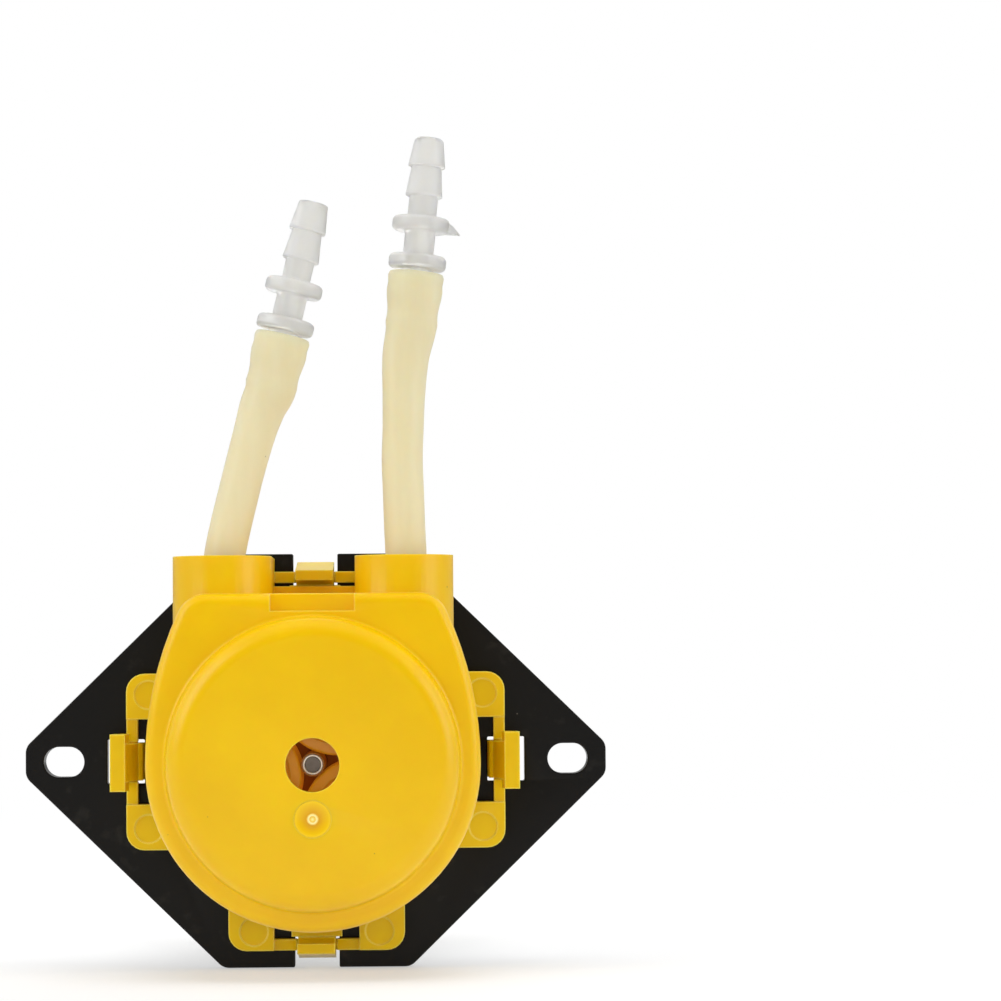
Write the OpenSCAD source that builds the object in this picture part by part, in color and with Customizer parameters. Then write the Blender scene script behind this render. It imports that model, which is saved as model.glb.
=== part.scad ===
// Peristaltic dosing pump with a clip-on head, a panel bracket and a small can motor.
// X is to the right, Y runs back along the motor and Z is up, towards the tube ends.
// The origin is the middle of the bracket's back face, which lies on the panel.

/* [Panel bracket] */
// Thickness of the bracket
bracket_t = 3.0; // [2.6:0.1:4.0]
// Half of the height of the short edge at each point
bracket_tip_half_h = 1.5; // [1.5:0.1:4]
// Half of the height of the bracket
bracket_half_h = 20.5; // [20.2:0.1:22]
// Half of the width of the flat top and bottom edges
bracket_flat_half_w = 9.3; // [8:0.1:11]
// Radius of the bracket's outer corners
bracket_corner_r = 1.4; // [0.6:0.1:1.6]
// Distance between the centres of the two screw slots
slot_spacing = 50.0; // [49:0.5:51]
// Length of a screw slot, end to end
slot_length = 4.0; // [3.4:0.1:4.4]
// Width of a screw slot
slot_w = 3.0; // [2.4:0.1:3.2]
// Distance from a screw slot's centre to the bracket's point
slot_margin = 3.8; // [3.2:0.1:7]
// Depth of the round seat in the bracket's back that the motor can stands in
can_seat_depth = 0.5; // [0.3:0.1:0.7]
// Depth of the pockets that the latch hooks lie in
hook_pocket_depth = 1.0; // [0.9:0.1:1.4]
// Distance between the two motor screws
motor_screw_spacing = 16.0; // [15:0.5:18]

/* [Base plate] */
// Thickness of the base plate
base_t = 2.2; // [2.0:0.1:3.0]
// Distance that the arms stand out past the housing's round side
arm_reach = 2.7; // [2.5:0.1:3.2]
// Half of the width of each arm
arm_half_w = 8.7; // [7:0.1:9.5]
// Radius of the arms' outer corners
arm_corner_r = 1.8; // [0.5:0.1:2.5]
// Width of the torsion bar that carries a latch
bar_w = 1.1; // [1.0:0.05:1.2]
// Half of the length of a torsion bar
bar_half_len = 4.2; // [3.4:0.1:5]
// Length of a tongue that closes the back of a tube channel
tongue_length = 3.6; // [2:0.1:4.2]

/* [Latches] */
// Width of a latch lever
latch_w = 3.7; // [3.0:0.1:3.9]
// Width of the finger pad of the side latches
latch_pad_w = 5.6; // [4:0.1:7]
// Distance that a latch stands in front of the bracket's front face
latch_reach = 6.2; // [5.6:0.1:6.6]
// Thickness of the finger end of a latch
latch_t = 1.0; // [0.8:0.05:1.1]
// How far a hook reaches over its ledge
hook_overlap = 0.45; // [0.3:0.05:0.5]
// Thickness of a hook
hook_t = 0.6; // [0.4:0.05:0.65]

/* [Head housing] */
// Radius of the round lower half of the housing
head_r = 16.0; // [15.8:0.1:16.5]
// Wall round the tube track
head_wall = 1.8; // [1.6:0.1:2.0]
// Radius of the two long side curves of the upper half
side_r = 35.0; // [32:0.5:40]
// Height of the flat shoulder above the top of the housing's round
shoulder_rise = 0.3; // [0:0.1:0.8]
// Radius of the shoulder's two corners
corner_r = 2.9; // [1.8:0.1:3.2]
// Radius along the housing's front edge
edge_r = 1.0; // [0.4:0.1:1.0]
// Depth of the housing from the base plate to the shoulder
head_depth = 15.0; // [14.8:0.1:16]
// Height of the dome in front of the shoulder
dome_h = 2.8; // [2.4:0.1:3.4]
// Distance from the housing's round side in to the dome
dome_inset = 2.0; // [1.5:0.1:2.1]
// Radius of the dome's rounded edge
dome_edge_r = 1.9; // [0.8:0.1:2.0]
// Diameter of the round view hole in the dome
view_hole_d = 5.1; // [3:0.1:8]

/* [Tube blocks] */
// Distance between the two tube blocks' centres
block_spacing = 17.6; // [17.4:0.1:18.2]
// Wall round a tube channel
block_wall = 1.87; // [1.5:0.01:1.9]
// Width of a tube channel
channel_w = 5.8; // [5.4:0.1:5.9]
// Height of the blocks' tops above the shoulder
block_rise = 3.7; // [2.9:0.1:4.7]

/* [Tube] */
// Outer diameter of the tube
tube_d = 4.0; // [3.8:0.1:4.2]
// Bore of the tube
tube_bore = 2.0; // [1.8:0.1:2.2]
// Thickness of the flattened tube as a share of its two walls
squash = 0.85; // [0.8:0.01:0.9]

/* [Hose fittings] */
// Diameter of a fitting's two collars
collar_d = 5.6; // [5:0.1:6.5]
// Thickness of a collar
collar_t = 1.35; // [1:0.05:1.6]
// Distance between the centres of the two collars
collar_pitch = 3.73; // [3:0.01:4.2]
// Diameter of a fitting at its barbs
barb_d = 3.6; // [3.2:0.1:4]
// Length of one barb
barb_length = 2.9; // [2.2:0.1:3.4]
// Length of the plain neck under the first barb
neck_length = 2.1; // [1.4:0.1:2.6]
// Bore of a fitting
fitting_bore = 1.6; // [1.2:0.1:1.8]

/* [Rollers] */
// Length of a roller
roller_length = 10.6; // [9:0.1:10.8]
// Diameter of a roller pin
pin_d = 2.0; // [1.4:0.1:2.4]
// Thickness of the rear carrier disc
carrier_t = 1.4; // [1:0.1:1.4]
// Thickness of the front carrier ring
ring_t = 1.2; // [0.8:0.1:1.4]
// Radius of the opening in the front carrier ring
ring_open_r = 5.2; // [4:0.1:5.4]

/* [Motor] */
// Outer diameter of the motor can
can_d = 27.7; // [27.2:0.1:28.2]
// Length of the motor can behind the bracket's back face
can_length = 34.9; // [34:0.1:38]
// Thickness of the can's sheet
can_wall = 0.7; // [0.5:0.05:0.8]
// Radius of the can's front corner
can_corner_r = 1.2; // [1:0.1:2]
// Diameter of the motor shaft
shaft_d = 2.3; // [2.0:0.1:2.5]
// Distance that the shaft stands in front of the bracket's back face
shaft_reach = 20.6; // [19:0.1:21]
// Thickness of the end cap outside the can
cap_t = 3.3; // [2.6:0.1:4]
// Radius of the rear bearing boss
cap_boss_r = 4.85; // [4:0.05:6]
// Height of the rear bearing boss
cap_boss_h = 2.6; // [2:0.1:3]
// Width of a terminal
terminal_w = 2.8; // [2.2:0.1:3.2]
// Thickness of a terminal
terminal_t = 0.5; // [0.3:0.05:0.7]
// Distance from the can's outside in to the middle of a terminal
terminal_inset = 2.85; // [2.5:0.05:3.3]
// Distance that the terminals stand behind the end cap
terminal_reach = 6.35; // [4:0.05:8]
// Gap between the armature core and the magnets
air_gap = 0.58; // [0.5:0.01:0.7]
// Thickness of a magnet
magnet_t = 1.35; // [1.2:0.05:1.4]
// Number of armature poles
poles = 5; // [5]

/* [Clearances] */
// Gap between a turning part and the part that it turns on
running_gap = 0.05; // [0.03:0.01:0.08]
// Gap between pieces that are pressed or slid together
fit_gap = 0.02; // [0.01:0.01:0.04]
// Gap left all round a moving piece that must not touch
free_gap = 0.3; // [0.25:0.05:0.35]

/* [Hidden] */
$fn = 64;

// Small overlap that lets one cut run past a face, and one that joins two shapes of a piece
past = 0.5;
weld = 0.1;

// Bracket, and levels along Y, where negative is in front of the panel
bracket_half_w = slot_spacing / 2 + slot_margin;
bracket_front = -bracket_t;
base_half = head_r + arm_reach;
shoulder_z = head_r + shoulder_rise;
block_z = shoulder_z + block_rise;
dome_r = head_r - dome_inset;
base_front = bracket_front - base_t;
shoulder_y = base_front - head_depth;
dome_y = shoulder_y - dome_h;

// Track and rollers, worked out from the wall inwards
cavity_r = head_r - head_wall;
track_gap = 0.07;
flat_half_t = (tube_d - tube_bore) * squash / 2;
track_r = cavity_r - track_gap - flat_half_t;
roller_tube_gap = 0.13;
orbit_r = track_r - flat_half_t - roller_tube_gap;
shaft_r = shaft_d / 2;
roller_r = (orbit_r - shaft_r - running_gap) / 2;
roller_centre = shaft_r + running_gap + roller_r;
first_roller_angle = 70.7;
roller_angles = [for (i = [0:2]) first_roller_angle + 120 * i];
shoulder_wall = 1.1;
dome_wall = 1.6;
dome_cavity_r = dome_r - dome_wall;
cavity_front = shoulder_y + shoulder_wall;
roller_end_gap = 0.2;
roller_front = cavity_front + roller_end_gap;
roller_back = roller_front + roller_length;
carrier_r = dome_cavity_r - 0.5;
carrier_front_y = roller_back + free_gap;
carrier_back_y = carrier_front_y + carrier_t;
ring_back_y = cavity_front;
ring_front_y = ring_back_y - ring_t;
post_r = 1.3;
post_pitch_r = carrier_r - post_r - 0.3;
spigot_r = 0.8;

// Latches and the bars that carry them, r is the distance from the axis
bar_t = 1.5;
bar_r = bar_w / 2;
bar_back = bracket_front - 0.2;
pivot_r = base_half - bar_w / 2;
pivot_y = bar_back - bar_t / 2;
pin_half_len = latch_w / 2 + 0.15;
eye_r = bar_r + running_gap;
eye_wall = 0.45;
window_in_r = head_r - 0.1;
notch_half_w = latch_w / 2 + 0.35;
notch_in_r = pivot_r - bar_w / 2 - 0.6;
notch_out_r = pivot_r + 2.55;
ledge_y = -hook_pocket_depth;
hook_front = ledge_y + 0.07;
hook_back = hook_front + hook_t;
hook_tip_r = notch_in_r - hook_overlap;
latch_front = bracket_front - latch_reach;
latch_back_r = pivot_r + 1.6;
latch_waist_r = pivot_r + 0.5;
latch_side_r = pivot_r + 1.1;

// Tube blocks and channels
block_x = block_spacing / 2;
channel_r = channel_w / 2;
block_r = channel_r + block_wall;
channel_y = base_front - 8.65;
tube_y = channel_y + 0.25;
roof_z = orbit_r + 0.7;
gap_half_w = block_x - block_r;
recess_z = roof_z + 1.6;
flange_z = shoulder_z + 0.9;
flange_t = 2.1;
jaw_z = shoulder_z;
jaw_t = 1.0;
tongue_front = base_front - tongue_length;
tongue_half_w = channel_r - 0.1;

// Upper outline of the housing: side curves that run into rounded shoulder corners
side_off = side_r - head_r;
corner_z = shoulder_z - corner_r;
corner_x = sqrt(pow(side_r - corner_r, 2) - corner_z * corner_z) - side_off;
corner_angle = asin(corner_z / (side_r - corner_r));

// Motor levels and radii
can_r = can_d / 2;
can_in_r = can_r - can_wall;
can_front = -can_seat_depth;
can_front_t = 0.8;
can_seat_gap = 0.1;
can_boss_r = 5.0;
can_boss_h = 1.8;
bearing_r = 3.0;
bearing_back = 1.8;
rear_bearing_r = 2.6;
cap_back = can_length + cap_t;
cap_boss_back = cap_back + cap_boss_h;
cap_skirt = 3.4;
cap_skirt_r = can_in_r - fit_gap;
skirt_t = 1.2;
bearing_seat_back = cap_boss_back - 1.2;
rear_bearing_front = can_length - 0.4;
terminal_foot_step = 0.25;
shaft_back = cap_boss_back - 0.6;
magnet_r = can_in_r - fit_gap - magnet_t;
core_r = magnet_r - air_gap;
core_front = 8.5;
rear_room = 10.9;
core_back = can_length - rear_room;
end_turn = 2.4;
winding_front = core_front - end_turn;
winding_back = core_back + end_turn;
commutator_front = winding_back + 1.1;
commutator_back = can_length - 0.9;
commutator_r = 2.5;
riser_r = 3.25;
brush_y = (commutator_front + commutator_back) / 2 + 0.3;
brush_l = 2.4;
brush_height = 1.3;
brush_out_r = commutator_r + running_gap + brush_height;
terminal_z = can_r - terminal_inset;
terminal_foot = 1.6;
terminal_foot_y = can_length - terminal_foot;
window_front = 11.5;
window_rear_room = 12.8;
window_back = can_length - window_rear_room;
window_half_w = 5.4;
window_taper = 4.0;
ridge = 1.4;
strip_out = window_half_w - 0.9;
strip_tip = strip_out - 1.5;
strip_drop = 1.7;
key_w = 2.5;
tooth_w = 1.5;
key_depth = 1.66;
key_low_r = can_in_r - 1;
vent_half_w = 6.1;
vent_r = 2.05;
vent_rear_room = 7.75;
vent_y = can_length - vent_rear_room;
screw_x = motor_screw_spacing / 2;
screw_r = 1.2;
screw_head_r = 2.25;
screw_head_h = 1.6;
screw_back = 1.9;
screw_gap = 0.15;

// Hose fittings: collar centre, lean to the right and lean to the back
left_collar = [-2.6, -12.7, 42.5];
left_lean = 13.3;
right_collar = [10.3, -12.4, 48.6];
right_lean = 5.9;
back_lean = 2.1;

// Tube route between the fittings and the blocks, chosen by hand, [x, y, z]
left_tail = [
    [-4.8, -12.9, 34.6], [-5.6, -13.0, 32.1], [-6.6, -13.1, 28.5], [-7.5, -13.3, 24.9],
    [-8.1, -13.4, 22.4], [-8.6, -13.5, 19.8], [-8.8, -13.6, 17.0]
];
right_tail = [
    [9.1, -12.7, 39.3], [8.9, -12.8, 35.7], [8.8, -12.9, 32.1], [8.7, -13.0, 29.4],
    [8.8, -13.2, 26.0], [8.9, -13.3, 22.6], [9.0, -13.5, 19.8], [8.8, -13.6, 17.0]
];

// Points along an arc, from angle a0 to angle a1
function arc(cx, cy, r, a0, a1, steps) =
    [for (i = [0:steps]) let (a = a0 + (a1 - a0) * i / steps) [cx + r * cos(a), cy + r * sin(a)]];

// Corner point number i of a closed outline that is listed anticlockwise, rounded to radius r
function rounded_corner(p, i, r, steps) =
    let (
        n = len(p),
        here = p[i],
        u = (p[(i + n - 1) % n] - here) / norm(p[(i + n - 1) % n] - here),
        v = (p[(i + 1) % n] - here) / norm(p[(i + 1) % n] - here),
        half = acos(u * v) / 2,
        centre = here + (u + v) / norm(u + v) * r / sin(half),
        start = here + u * r / tan(half) - centre,
        a0 = atan2(start[1], start[0])
    )
    arc(centre[0], centre[1], r, a0, a0 + 180 - 2 * half, steps);

function rounded_outline(p, r, steps = 6) =
    [for (i = [0:len(p) - 1]) for (q = rounded_corner(p, i, r, steps)) q];

function rectangle(w, h) = [[-w / 2, -h / 2], [w / 2, -h / 2], [w / 2, h / 2], [-w / 2, h / 2]];

// Outline of the housing seen from the front, drawn in by inset
function head_outline(inset) = concat(
    arc(-side_off, 0, side_r - inset, 0, corner_angle, 8),
    arc(corner_x, corner_z, corner_r - inset, corner_angle, 90, 8),
    arc(-corner_x, corner_z, corner_r - inset, 90, 180 - corner_angle, 8),
    arc(side_off, 0, side_r - inset, 180 - corner_angle, 180, 8),
    [for (i = [1:47]) let (a = 180 + 180 * i / 48) (head_r - inset) * [cos(a), sin(a)]]
);

// Flat shape seen from the front, given a thickness from y_front back to y_back
module slab(y_front, y_back) {
    translate([0, y_back, 0])
        rotate([90, 0, 0])
            linear_extrude(y_back - y_front)
                children();
}

// Round part turned about the Y axis, its outline is [radius, y]
module turned(outline) {
    rotate([-90, 0, 0])
        rotate_extrude()
            polygon(outline);
}

// Round bar along Y
module rod(r, y_front, y_back) {
    translate([0, y_front, 0])
        rotate([-90, 0, 0])
            cylinder(r = r, h = y_back - y_front);
}

// Box between two opposite corners
module block(low, high) {
    translate(low)
        cube(high - low);
}

// Puts a copy on the right, top, left and bottom
module four_sides() {
    for (a = [0, -90, 180, 90])
        rotate([0, a, 0])
            children();
}

module both_ends() {
    for (a = [0, 180])
        rotate([0, a, 0])
            children();
}

module bracket_outline() {
    corners = [
        [bracket_half_w, -bracket_tip_half_h], [bracket_half_w, bracket_tip_half_h],
        [bracket_flat_half_w, bracket_half_h], [-bracket_flat_half_w, bracket_half_h],
        [-bracket_half_w, bracket_tip_half_h], [-bracket_half_w, -bracket_tip_half_h],
        [-bracket_flat_half_w, -bracket_half_h], [bracket_flat_half_w, -bracket_half_h]
    ];
    polygon(rounded_outline(corners, bracket_corner_r));
}

module screw_slot(x) {
    run = slot_length / 2 - slot_w / 2;
    for (s = [-1, 1])
        translate([x + s * run, 0, 0])
            rod(slot_w / 2, bracket_front - past, past);
    block([x - run, bracket_front - past, -slot_w / 2], [x + run, past, slot_w / 2]);
}

// Way through the bracket for one latch, with the pocket behind it that its hook lies in
module latch_notch(out_r) {
    block([notch_in_r, bracket_front - past, -notch_half_w], [out_r, past, notch_half_w]);
    pocket_half_w = notch_half_w + 0.4;
    block([hook_tip_r - free_gap, ledge_y, -pocket_half_w], [out_r + 0.5, past, pocket_half_w]);
}

module mounting_bracket() {
    color("#25211d")
        difference() {
            slab(bracket_front, 0)
                bracket_outline();
            for (s = [-1, 1])
                screw_slot(s * slot_spacing / 2);
            for (a = [0, 180])
                rotate([0, a, 0])
                    latch_notch(notch_out_r);
            for (a = [90, -90])
                rotate([0, a, 0])
                    latch_notch(bracket_half_h + 1);
            rod(can_boss_r + fit_gap, bracket_front - past, past);
            rod(can_r + can_seat_gap, can_front, past);
            for (s = [-1, 1])
                translate([s * screw_x, 0, 0])
                    rod(screw_r + screw_gap, bracket_front - past, past);
        }
}

// Torsion bar along one arm's outer edge, round where the latch turns on it
module torsion_bar() {
    for (s = [-1, 1])
        translate([0, 0, s * (pin_half_len + bar_half_len + weld) / 2])
            cube_centred([bar_w, bar_t, bar_half_len + weld - pin_half_len], [pivot_r, pivot_y, 0]);
    translate([pivot_r, pivot_y, -pin_half_len - weld])
        cylinder(r = bar_r, h = 2 * (pin_half_len + weld));
}

module cube_centred(size, at) {
    translate(at)
        cube(size, center = true);
}

// Upright that closes the back of one tube channel, with its tongue down the channel
module channel_upright(x) {
    foot_z = base_half - 2;
    tongue_low_z = shoulder_z + 0.1;
    tongue_high_z = block_z - 1;
    block([x - block_r, base_front, foot_z], [x + block_r, bar_back, block_z]);
    block([x - tongue_half_w, tongue_front, tongue_low_z],
          [x + tongue_half_w, base_front + weld, tongue_high_z]);
}

module base_plate() {
    mark_r = 1.4;
    mark_depth = 0.15;
    side_mark = [base_half - 2.2, arm_half_w - 2.1];
    low_mark = [arm_half_w - 2.5, base_half - 1.9];
    shaft_hole_r = can_boss_r - 1;
    color("#d4b42a")
        difference() {
            union() {
                difference() {
                    slab(base_front, bracket_front) {
                        polygon(rounded_outline(rectangle(2 * base_half, 2 * arm_half_w), arm_corner_r));
                        polygon(rounded_outline(rectangle(2 * arm_half_w, 2 * base_half), arm_corner_r));
                        circle(r = window_in_r);
                    }
                    four_sides()
                        block([window_in_r, base_front - past, -bar_half_len],
                              [base_half + past, bracket_front + past, bar_half_len]);
                }
                four_sides()
                    torsion_bar();
                for (s = [-1, 1])
                    channel_upright(s * block_x);
            }
            rod(shaft_hole_r, base_front - past, bracket_front + past);
            for (s = [-1, 1])
                translate([s * screw_x, 0, 0])
                    rod(screw_head_r + free_gap, base_front - past, bracket_front + past);
            for (s = [-1, 1]) {
                for (t = [-1, 1])
                    translate([s * side_mark[0], 0, t * side_mark[1]])
                        rod(mark_r, base_front - past, base_front + mark_depth);
                translate([s * low_mark[0], 0, -low_mark[1]])
                    rod(mark_r, base_front - past, base_front + mark_depth);
            }
        }
}

// Lever seen along its pivot, [distance from the axis, y], from the hook to the start of the finger end
module latch_root() {
    hook_lead = 0.15;
    side_front = pivot_y - 0.6;
    polygon([
        [hook_tip_r, hook_front], [latch_waist_r, hook_front], [latch_waist_r, pivot_y + eye_r],
        [pivot_r - bar_r, pivot_y], [latch_side_r - 0.2, side_front], [latch_side_r, pivot_y],
        [latch_back_r, hook_back], [hook_tip_r + hook_lead, hook_back]
    ]);
    translate([pivot_r, pivot_y])
        circle(r = eye_r + eye_wall);
}

module latch_lever(finger) {
    difference() {
        translate([0, 0, -latch_w / 2])
            linear_extrude(latch_w) {
                latch_root();
                polygon(finger);
            }
        translate([pivot_r, pivot_y, -latch_w])
            cylinder(r = eye_r, h = 2 * latch_w);
    }
}

// Straight lever of the top and bottom latches, with the shoulder inside its window
module strip_latch() {
    finger_out = latch_back_r - 1.0;
    finger_in = finger_out - latch_t;
    root_in = pivot_r - 0.9;
    throat_in = pivot_r - 0.53;
    flange_in = pivot_r - 0.22;
    latch_lever([
        [root_in, pivot_y - 0.3], [throat_in, base_front - 0.05], [flange_in, base_front - flange_t],
        [finger_in, latch_front], [finger_out, latch_front], [latch_side_r, pivot_y]
    ]);
    shoulder_half_w = latch_w / 2 + 0.65;
    shoulder_in = pivot_r - 1.8;
    shoulder_out = pivot_r - 0.8;
    block([shoulder_in, pivot_y - 0.85, -shoulder_half_w],
          [shoulder_out, pivot_y + 0.6, shoulder_half_w]);
}

// Lever of the side latches: a wedge that leans out from its bar, with a wider finger pad on its outside
module pad_latch() {
    pad_out = pivot_r + 1.9;
    pad_in = pad_out - latch_t - 0.5;
    knee_y = base_front - 1.2;
    foot_y = base_front - 0.15;
    foot_in = pivot_r + 0.25;
    foot_out = pivot_r + 0.6;
    knee_in = 0.2;
    lever_in = pivot_r - eye_r;
    latch_lever([
        [lever_in, pivot_y - eye_r], [lever_in, foot_y], [pad_in, latch_front],
        [pad_out - weld, latch_front], [pad_out - weld - knee_in, knee_y], [foot_out, foot_y],
        [latch_side_r - 0.3, pivot_y - 0.5]
    ]);
    translate([0, 0, -latch_pad_w / 2])
        linear_extrude(latch_pad_w)
            polygon([
                [pad_in, latch_front], [pad_out, latch_front], [pad_out - knee_in, knee_y],
                [foot_out, foot_y], [foot_in, foot_y], [foot_in, knee_y - 0.5]
            ]);
}

module latch_right() {
    color("#d4b42a")
        pad_latch();
}

module latch_left() {
    color("#d4b42a")
        rotate([0, 180, 0])
            pad_latch();
}

module latch_top() {
    color("#d4b42a")
        rotate([0, -90, 0])
            strip_latch();
}

module latch_bottom() {
    color("#d4b42a")
        rotate([0, 90, 0])
            strip_latch();
}

// Outer form of the housing up to its shoulder, with the rounded front edge
module head_body() {
    edge_steps = 4;
    hull() {
        slab(shoulder_y + edge_r, base_front)
            polygon(head_outline(0));
        for (i = [1:edge_steps]) {
            a = 90 * i / edge_steps;
            y = shoulder_y + edge_r * (1 - sin(a));
            slab(y, y + 0.01)
                polygon(head_outline(edge_r * (1 - cos(a))));
        }
    }
}

module dome() {
    foot_r = 0.5;
    turned(concat(
        [[0, dome_y], [0, shoulder_y + past], [dome_r + foot_r, shoulder_y + past]],
        arc(dome_r + foot_r, shoulder_y - foot_r, foot_r, 90, 180, 5),
        arc(dome_r - dome_edge_r, dome_y + dome_edge_r, dome_edge_r, 0, -90, 8)
    ));
}

// Block that a tube end leaves by, down to where it runs into the housing's side
module tube_block(x) {
    foot_z = corner_z - 2;
    translate([x, channel_y, foot_z])
        cylinder(r = block_r, h = block_z - foot_z);
    block([x - block_r, channel_y, foot_z], [x + block_r, base_front, block_z]);
}

module tube_channel(x) {
    low_z = sqrt(cavity_r * cavity_r - pow(block_x + channel_r, 2)) - 0.6;
    translate([x, channel_y, low_z])
        cylinder(r = channel_r, h = block_z - low_z + past);
    block([x - channel_r, channel_y, low_z], [x + channel_r, base_front + past, block_z + past]);
}

// Jaw across a channel that grips the tube: a seat, a narrow neck and a lead-in
module tube_jaw(x) {
    seat_r = tube_d / 2 + running_gap;
    jaw_r = channel_r + 0.2;
    neck = 1.37;
    lead = 4.6;
    neck_run = 5;
    neck_y = tube_y + 3.2;
    lead_y = tongue_front + 0.2;
    translate([x, 0, jaw_z])
        linear_extrude(jaw_t)
            difference() {
                union() {
                    translate([0, channel_y])
                        circle(r = jaw_r);
                    translate([-jaw_r, channel_y])
                        square([2 * jaw_r, tongue_front - channel_y - weld]);
                }
                translate([0, tube_y])
                    circle(r = seat_r);
                translate([-neck / 2, tube_y])
                    square([neck, neck_run]);
                polygon([[-neck / 2, neck_y], [neck / 2, neck_y], [lead / 2, lead_y], [-lead / 2, lead_y]]);
            }
}

module head_housing() {
    flat_x = head_r - 0.8;
    flat_half_h = 2.6;
    flat_y = base_front - 4.3;
    band_front = shoulder_y + 0.9;
    band_back = band_front + 1.3;
    band_half_w = gap_half_w + 0.3;
    gate_z = -5.1;
    gate_r = 1.75;
    gate_depth = 0.2;
    color("#ecc323")
        difference() {
            union() {
                difference() {
                    union() {
                        head_body();
                        dome();
                        for (s = [-1, 1])
                            tube_block(s * block_x);
                        block([-band_half_w, base_front - flange_t, roof_z],
                              [band_half_w, base_front, flange_z]);
                    }
                    difference() {
                        rod(cavity_r, cavity_front, base_front + past);
                        block([-cavity_r, cavity_front - 1, roof_z],
                              [cavity_r, base_front + 1, cavity_r + 1]);
                    }
                    rod(dome_cavity_r, dome_y + dome_wall, cavity_front + past);
                    for (s = [-1, 1])
                        tube_channel(s * block_x);
                }
                for (s = [-1, 1])
                    tube_jaw(s * block_x);
            }
            rod(view_hole_d / 2, dome_y - past, dome_y + dome_wall + past);
            translate([0, 0, gate_z])
                rod(gate_r, dome_y - past, dome_y + gate_depth);
            for (s = [-1, 1])
                block([s * (flat_x + 1) - 1, flat_y, -flat_half_h],
                      [s * (flat_x + 1) + 1, base_front + past, flat_half_h]);
            block([-gap_half_w, band_back, recess_z],
                  [gap_half_w, base_front - flange_t, block_z + 1]);
            block([-gap_half_w, shoulder_y - past, recess_z], [gap_half_w, band_front, block_z + 1]);
        }
}

// Direction that a fitting points in
function lean_axis(lean) = [cos(back_lean) * sin(lean), sin(back_lean), cos(back_lean) * cos(lean)];

// Points of the sleeve that stretches over a fitting's barbs, [distance below the collar, outer radius]
barb_1 = collar_t / 2 + neck_length;
barb_2 = barb_1 + barb_length;
barb_tip = barb_2 + barb_length;
tube_end = collar_t / 2 + 0.1;
wall_t = (tube_d - tube_bore) / 2;
sleeve = [
    [tube_end, barb_d / 2 + 0.8], [tube_end + 1.4, barb_d / 2 + 0.67], [barb_1 + 0.1, barb_d / 2 + 0.75],
    [barb_1 + 1.5, barb_d / 2 + 0.65], [barb_2 + 0.1, barb_d / 2 + 0.72]
];

// Bore of the stretched sleeve, which follows the barbs inside it
barb_clear = 0.1;
neck_r = barb_d / 2 - 0.4;
sleeve_bore = [
    [tube_end - 0.05, neck_r + barb_clear], [barb_1 - 0.1, neck_r + barb_clear],
    [barb_1, barb_d / 2 + barb_clear], [barb_2 - 0.1, barb_d / 2 - 0.25 + barb_clear],
    [barb_2, barb_d / 2 + barb_clear]
];

// Stations of the tube: [x, y, z, half thickness across the track, half width along the motor axis]
function sleeve_stations(collar, lean, list) =
    [for (s = list) let (p = collar - s[0] * lean_axis(lean)) [p[0], p[1], p[2], s[1], s[1]]];

first_tail_bulge = 0.25;
function tail_stations(tail, radius) =
    [for (i = [0:len(tail) - 1]) let (p = tail[i], r = radius + (i == 0 ? first_tail_bulge : 0))
        [p[0], p[1], p[2], r, r]];

// Entry from a channel into the track, an even curve along which the tube is pressed flat
entry_angle = 33;
entry_top = 14.5;
entry_start = [block_x, entry_top];
entry_end = track_r * [cos(entry_angle), sin(entry_angle)];
entry_hold = entry_start - [0, 2.9];
entry_lead = entry_end + 2.6 * [-sin(entry_angle), cos(entry_angle)];
flat_half_w = 2.65;
function blend(t) = t * t * (3 - 2 * t);
function entry_point(t) =
    pow(1 - t, 3) * entry_start + 3 * pow(1 - t, 2) * t * entry_hold
    + 3 * (1 - t) * t * t * entry_lead + pow(t, 3) * entry_end;
function entry_station(t, side) =
    let (p = entry_point(t))
    [side * p[0], tube_y, p[1],
     tube_d / 2 + (flat_half_t - tube_d / 2) * blend(t), tube_d / 2 + (flat_half_w - tube_d / 2) * blend(t)];
track_steps = 28;
function track_stations() =
    [for (i = [1:track_steps - 1]) let (a = 180 - entry_angle + (180 + 2 * entry_angle) * i / track_steps)
        [track_r * cos(a), tube_y, track_r * sin(a), flat_half_t, flat_half_w]];

function reversed(list) = [for (i = [len(list) - 1:-1:0]) list[i]];

tube_stations = concat(
    sleeve_stations(left_collar, left_lean, sleeve),
    tail_stations(left_tail, tube_d / 2),
    [for (t = [0:0.25:1]) entry_station(t, -1)],
    track_stations(),
    [for (t = [1:-0.25:0]) entry_station(t, 1)],
    reversed(tail_stations(right_tail, tube_d / 2)),
    reversed(sleeve_stations(right_collar, right_lean, sleeve))
);

left_bore_stations = concat(
    sleeve_stations(left_collar, left_lean, sleeve_bore),
    [for (p = left_tail) [p[0], p[1], p[2], tube_bore / 2, tube_bore / 2]],
    [for (t = [0, 0.25]) let (e = entry_station(t, -1)) [e[0], e[1], e[2], e[3] - wall_t, e[4] - wall_t]]
);

right_bore_stations = concat(
    sleeve_stations(right_collar, right_lean, sleeve_bore),
    [for (p = right_tail) [p[0], p[1], p[2], tube_bore / 2, tube_bore / 2]],
    [for (t = [0, 0.25]) let (e = entry_station(t, 1)) [e[0], e[1], e[2], e[3] - wall_t, e[4] - wall_t]]
);

// One ring of the tube round station i, square to the route
ring_sides = 10;
function ring(stations, i) =
    let (
        s = stations[i],
        before = stations[max(i - 1, 0)],
        after = stations[min(i + 1, len(stations) - 1)],
        run = [after[0] - before[0], after[2] - before[2]],
        across = [run[1], -run[0]] / norm(run)
    )
    [for (k = [0:ring_sides - 1]) let (a = 360 * k / ring_sides)
        [s[0] + s[3] * cos(a) * across[0], s[1] + s[4] * sin(a), s[2] + s[3] * cos(a) * across[1]]];

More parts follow.
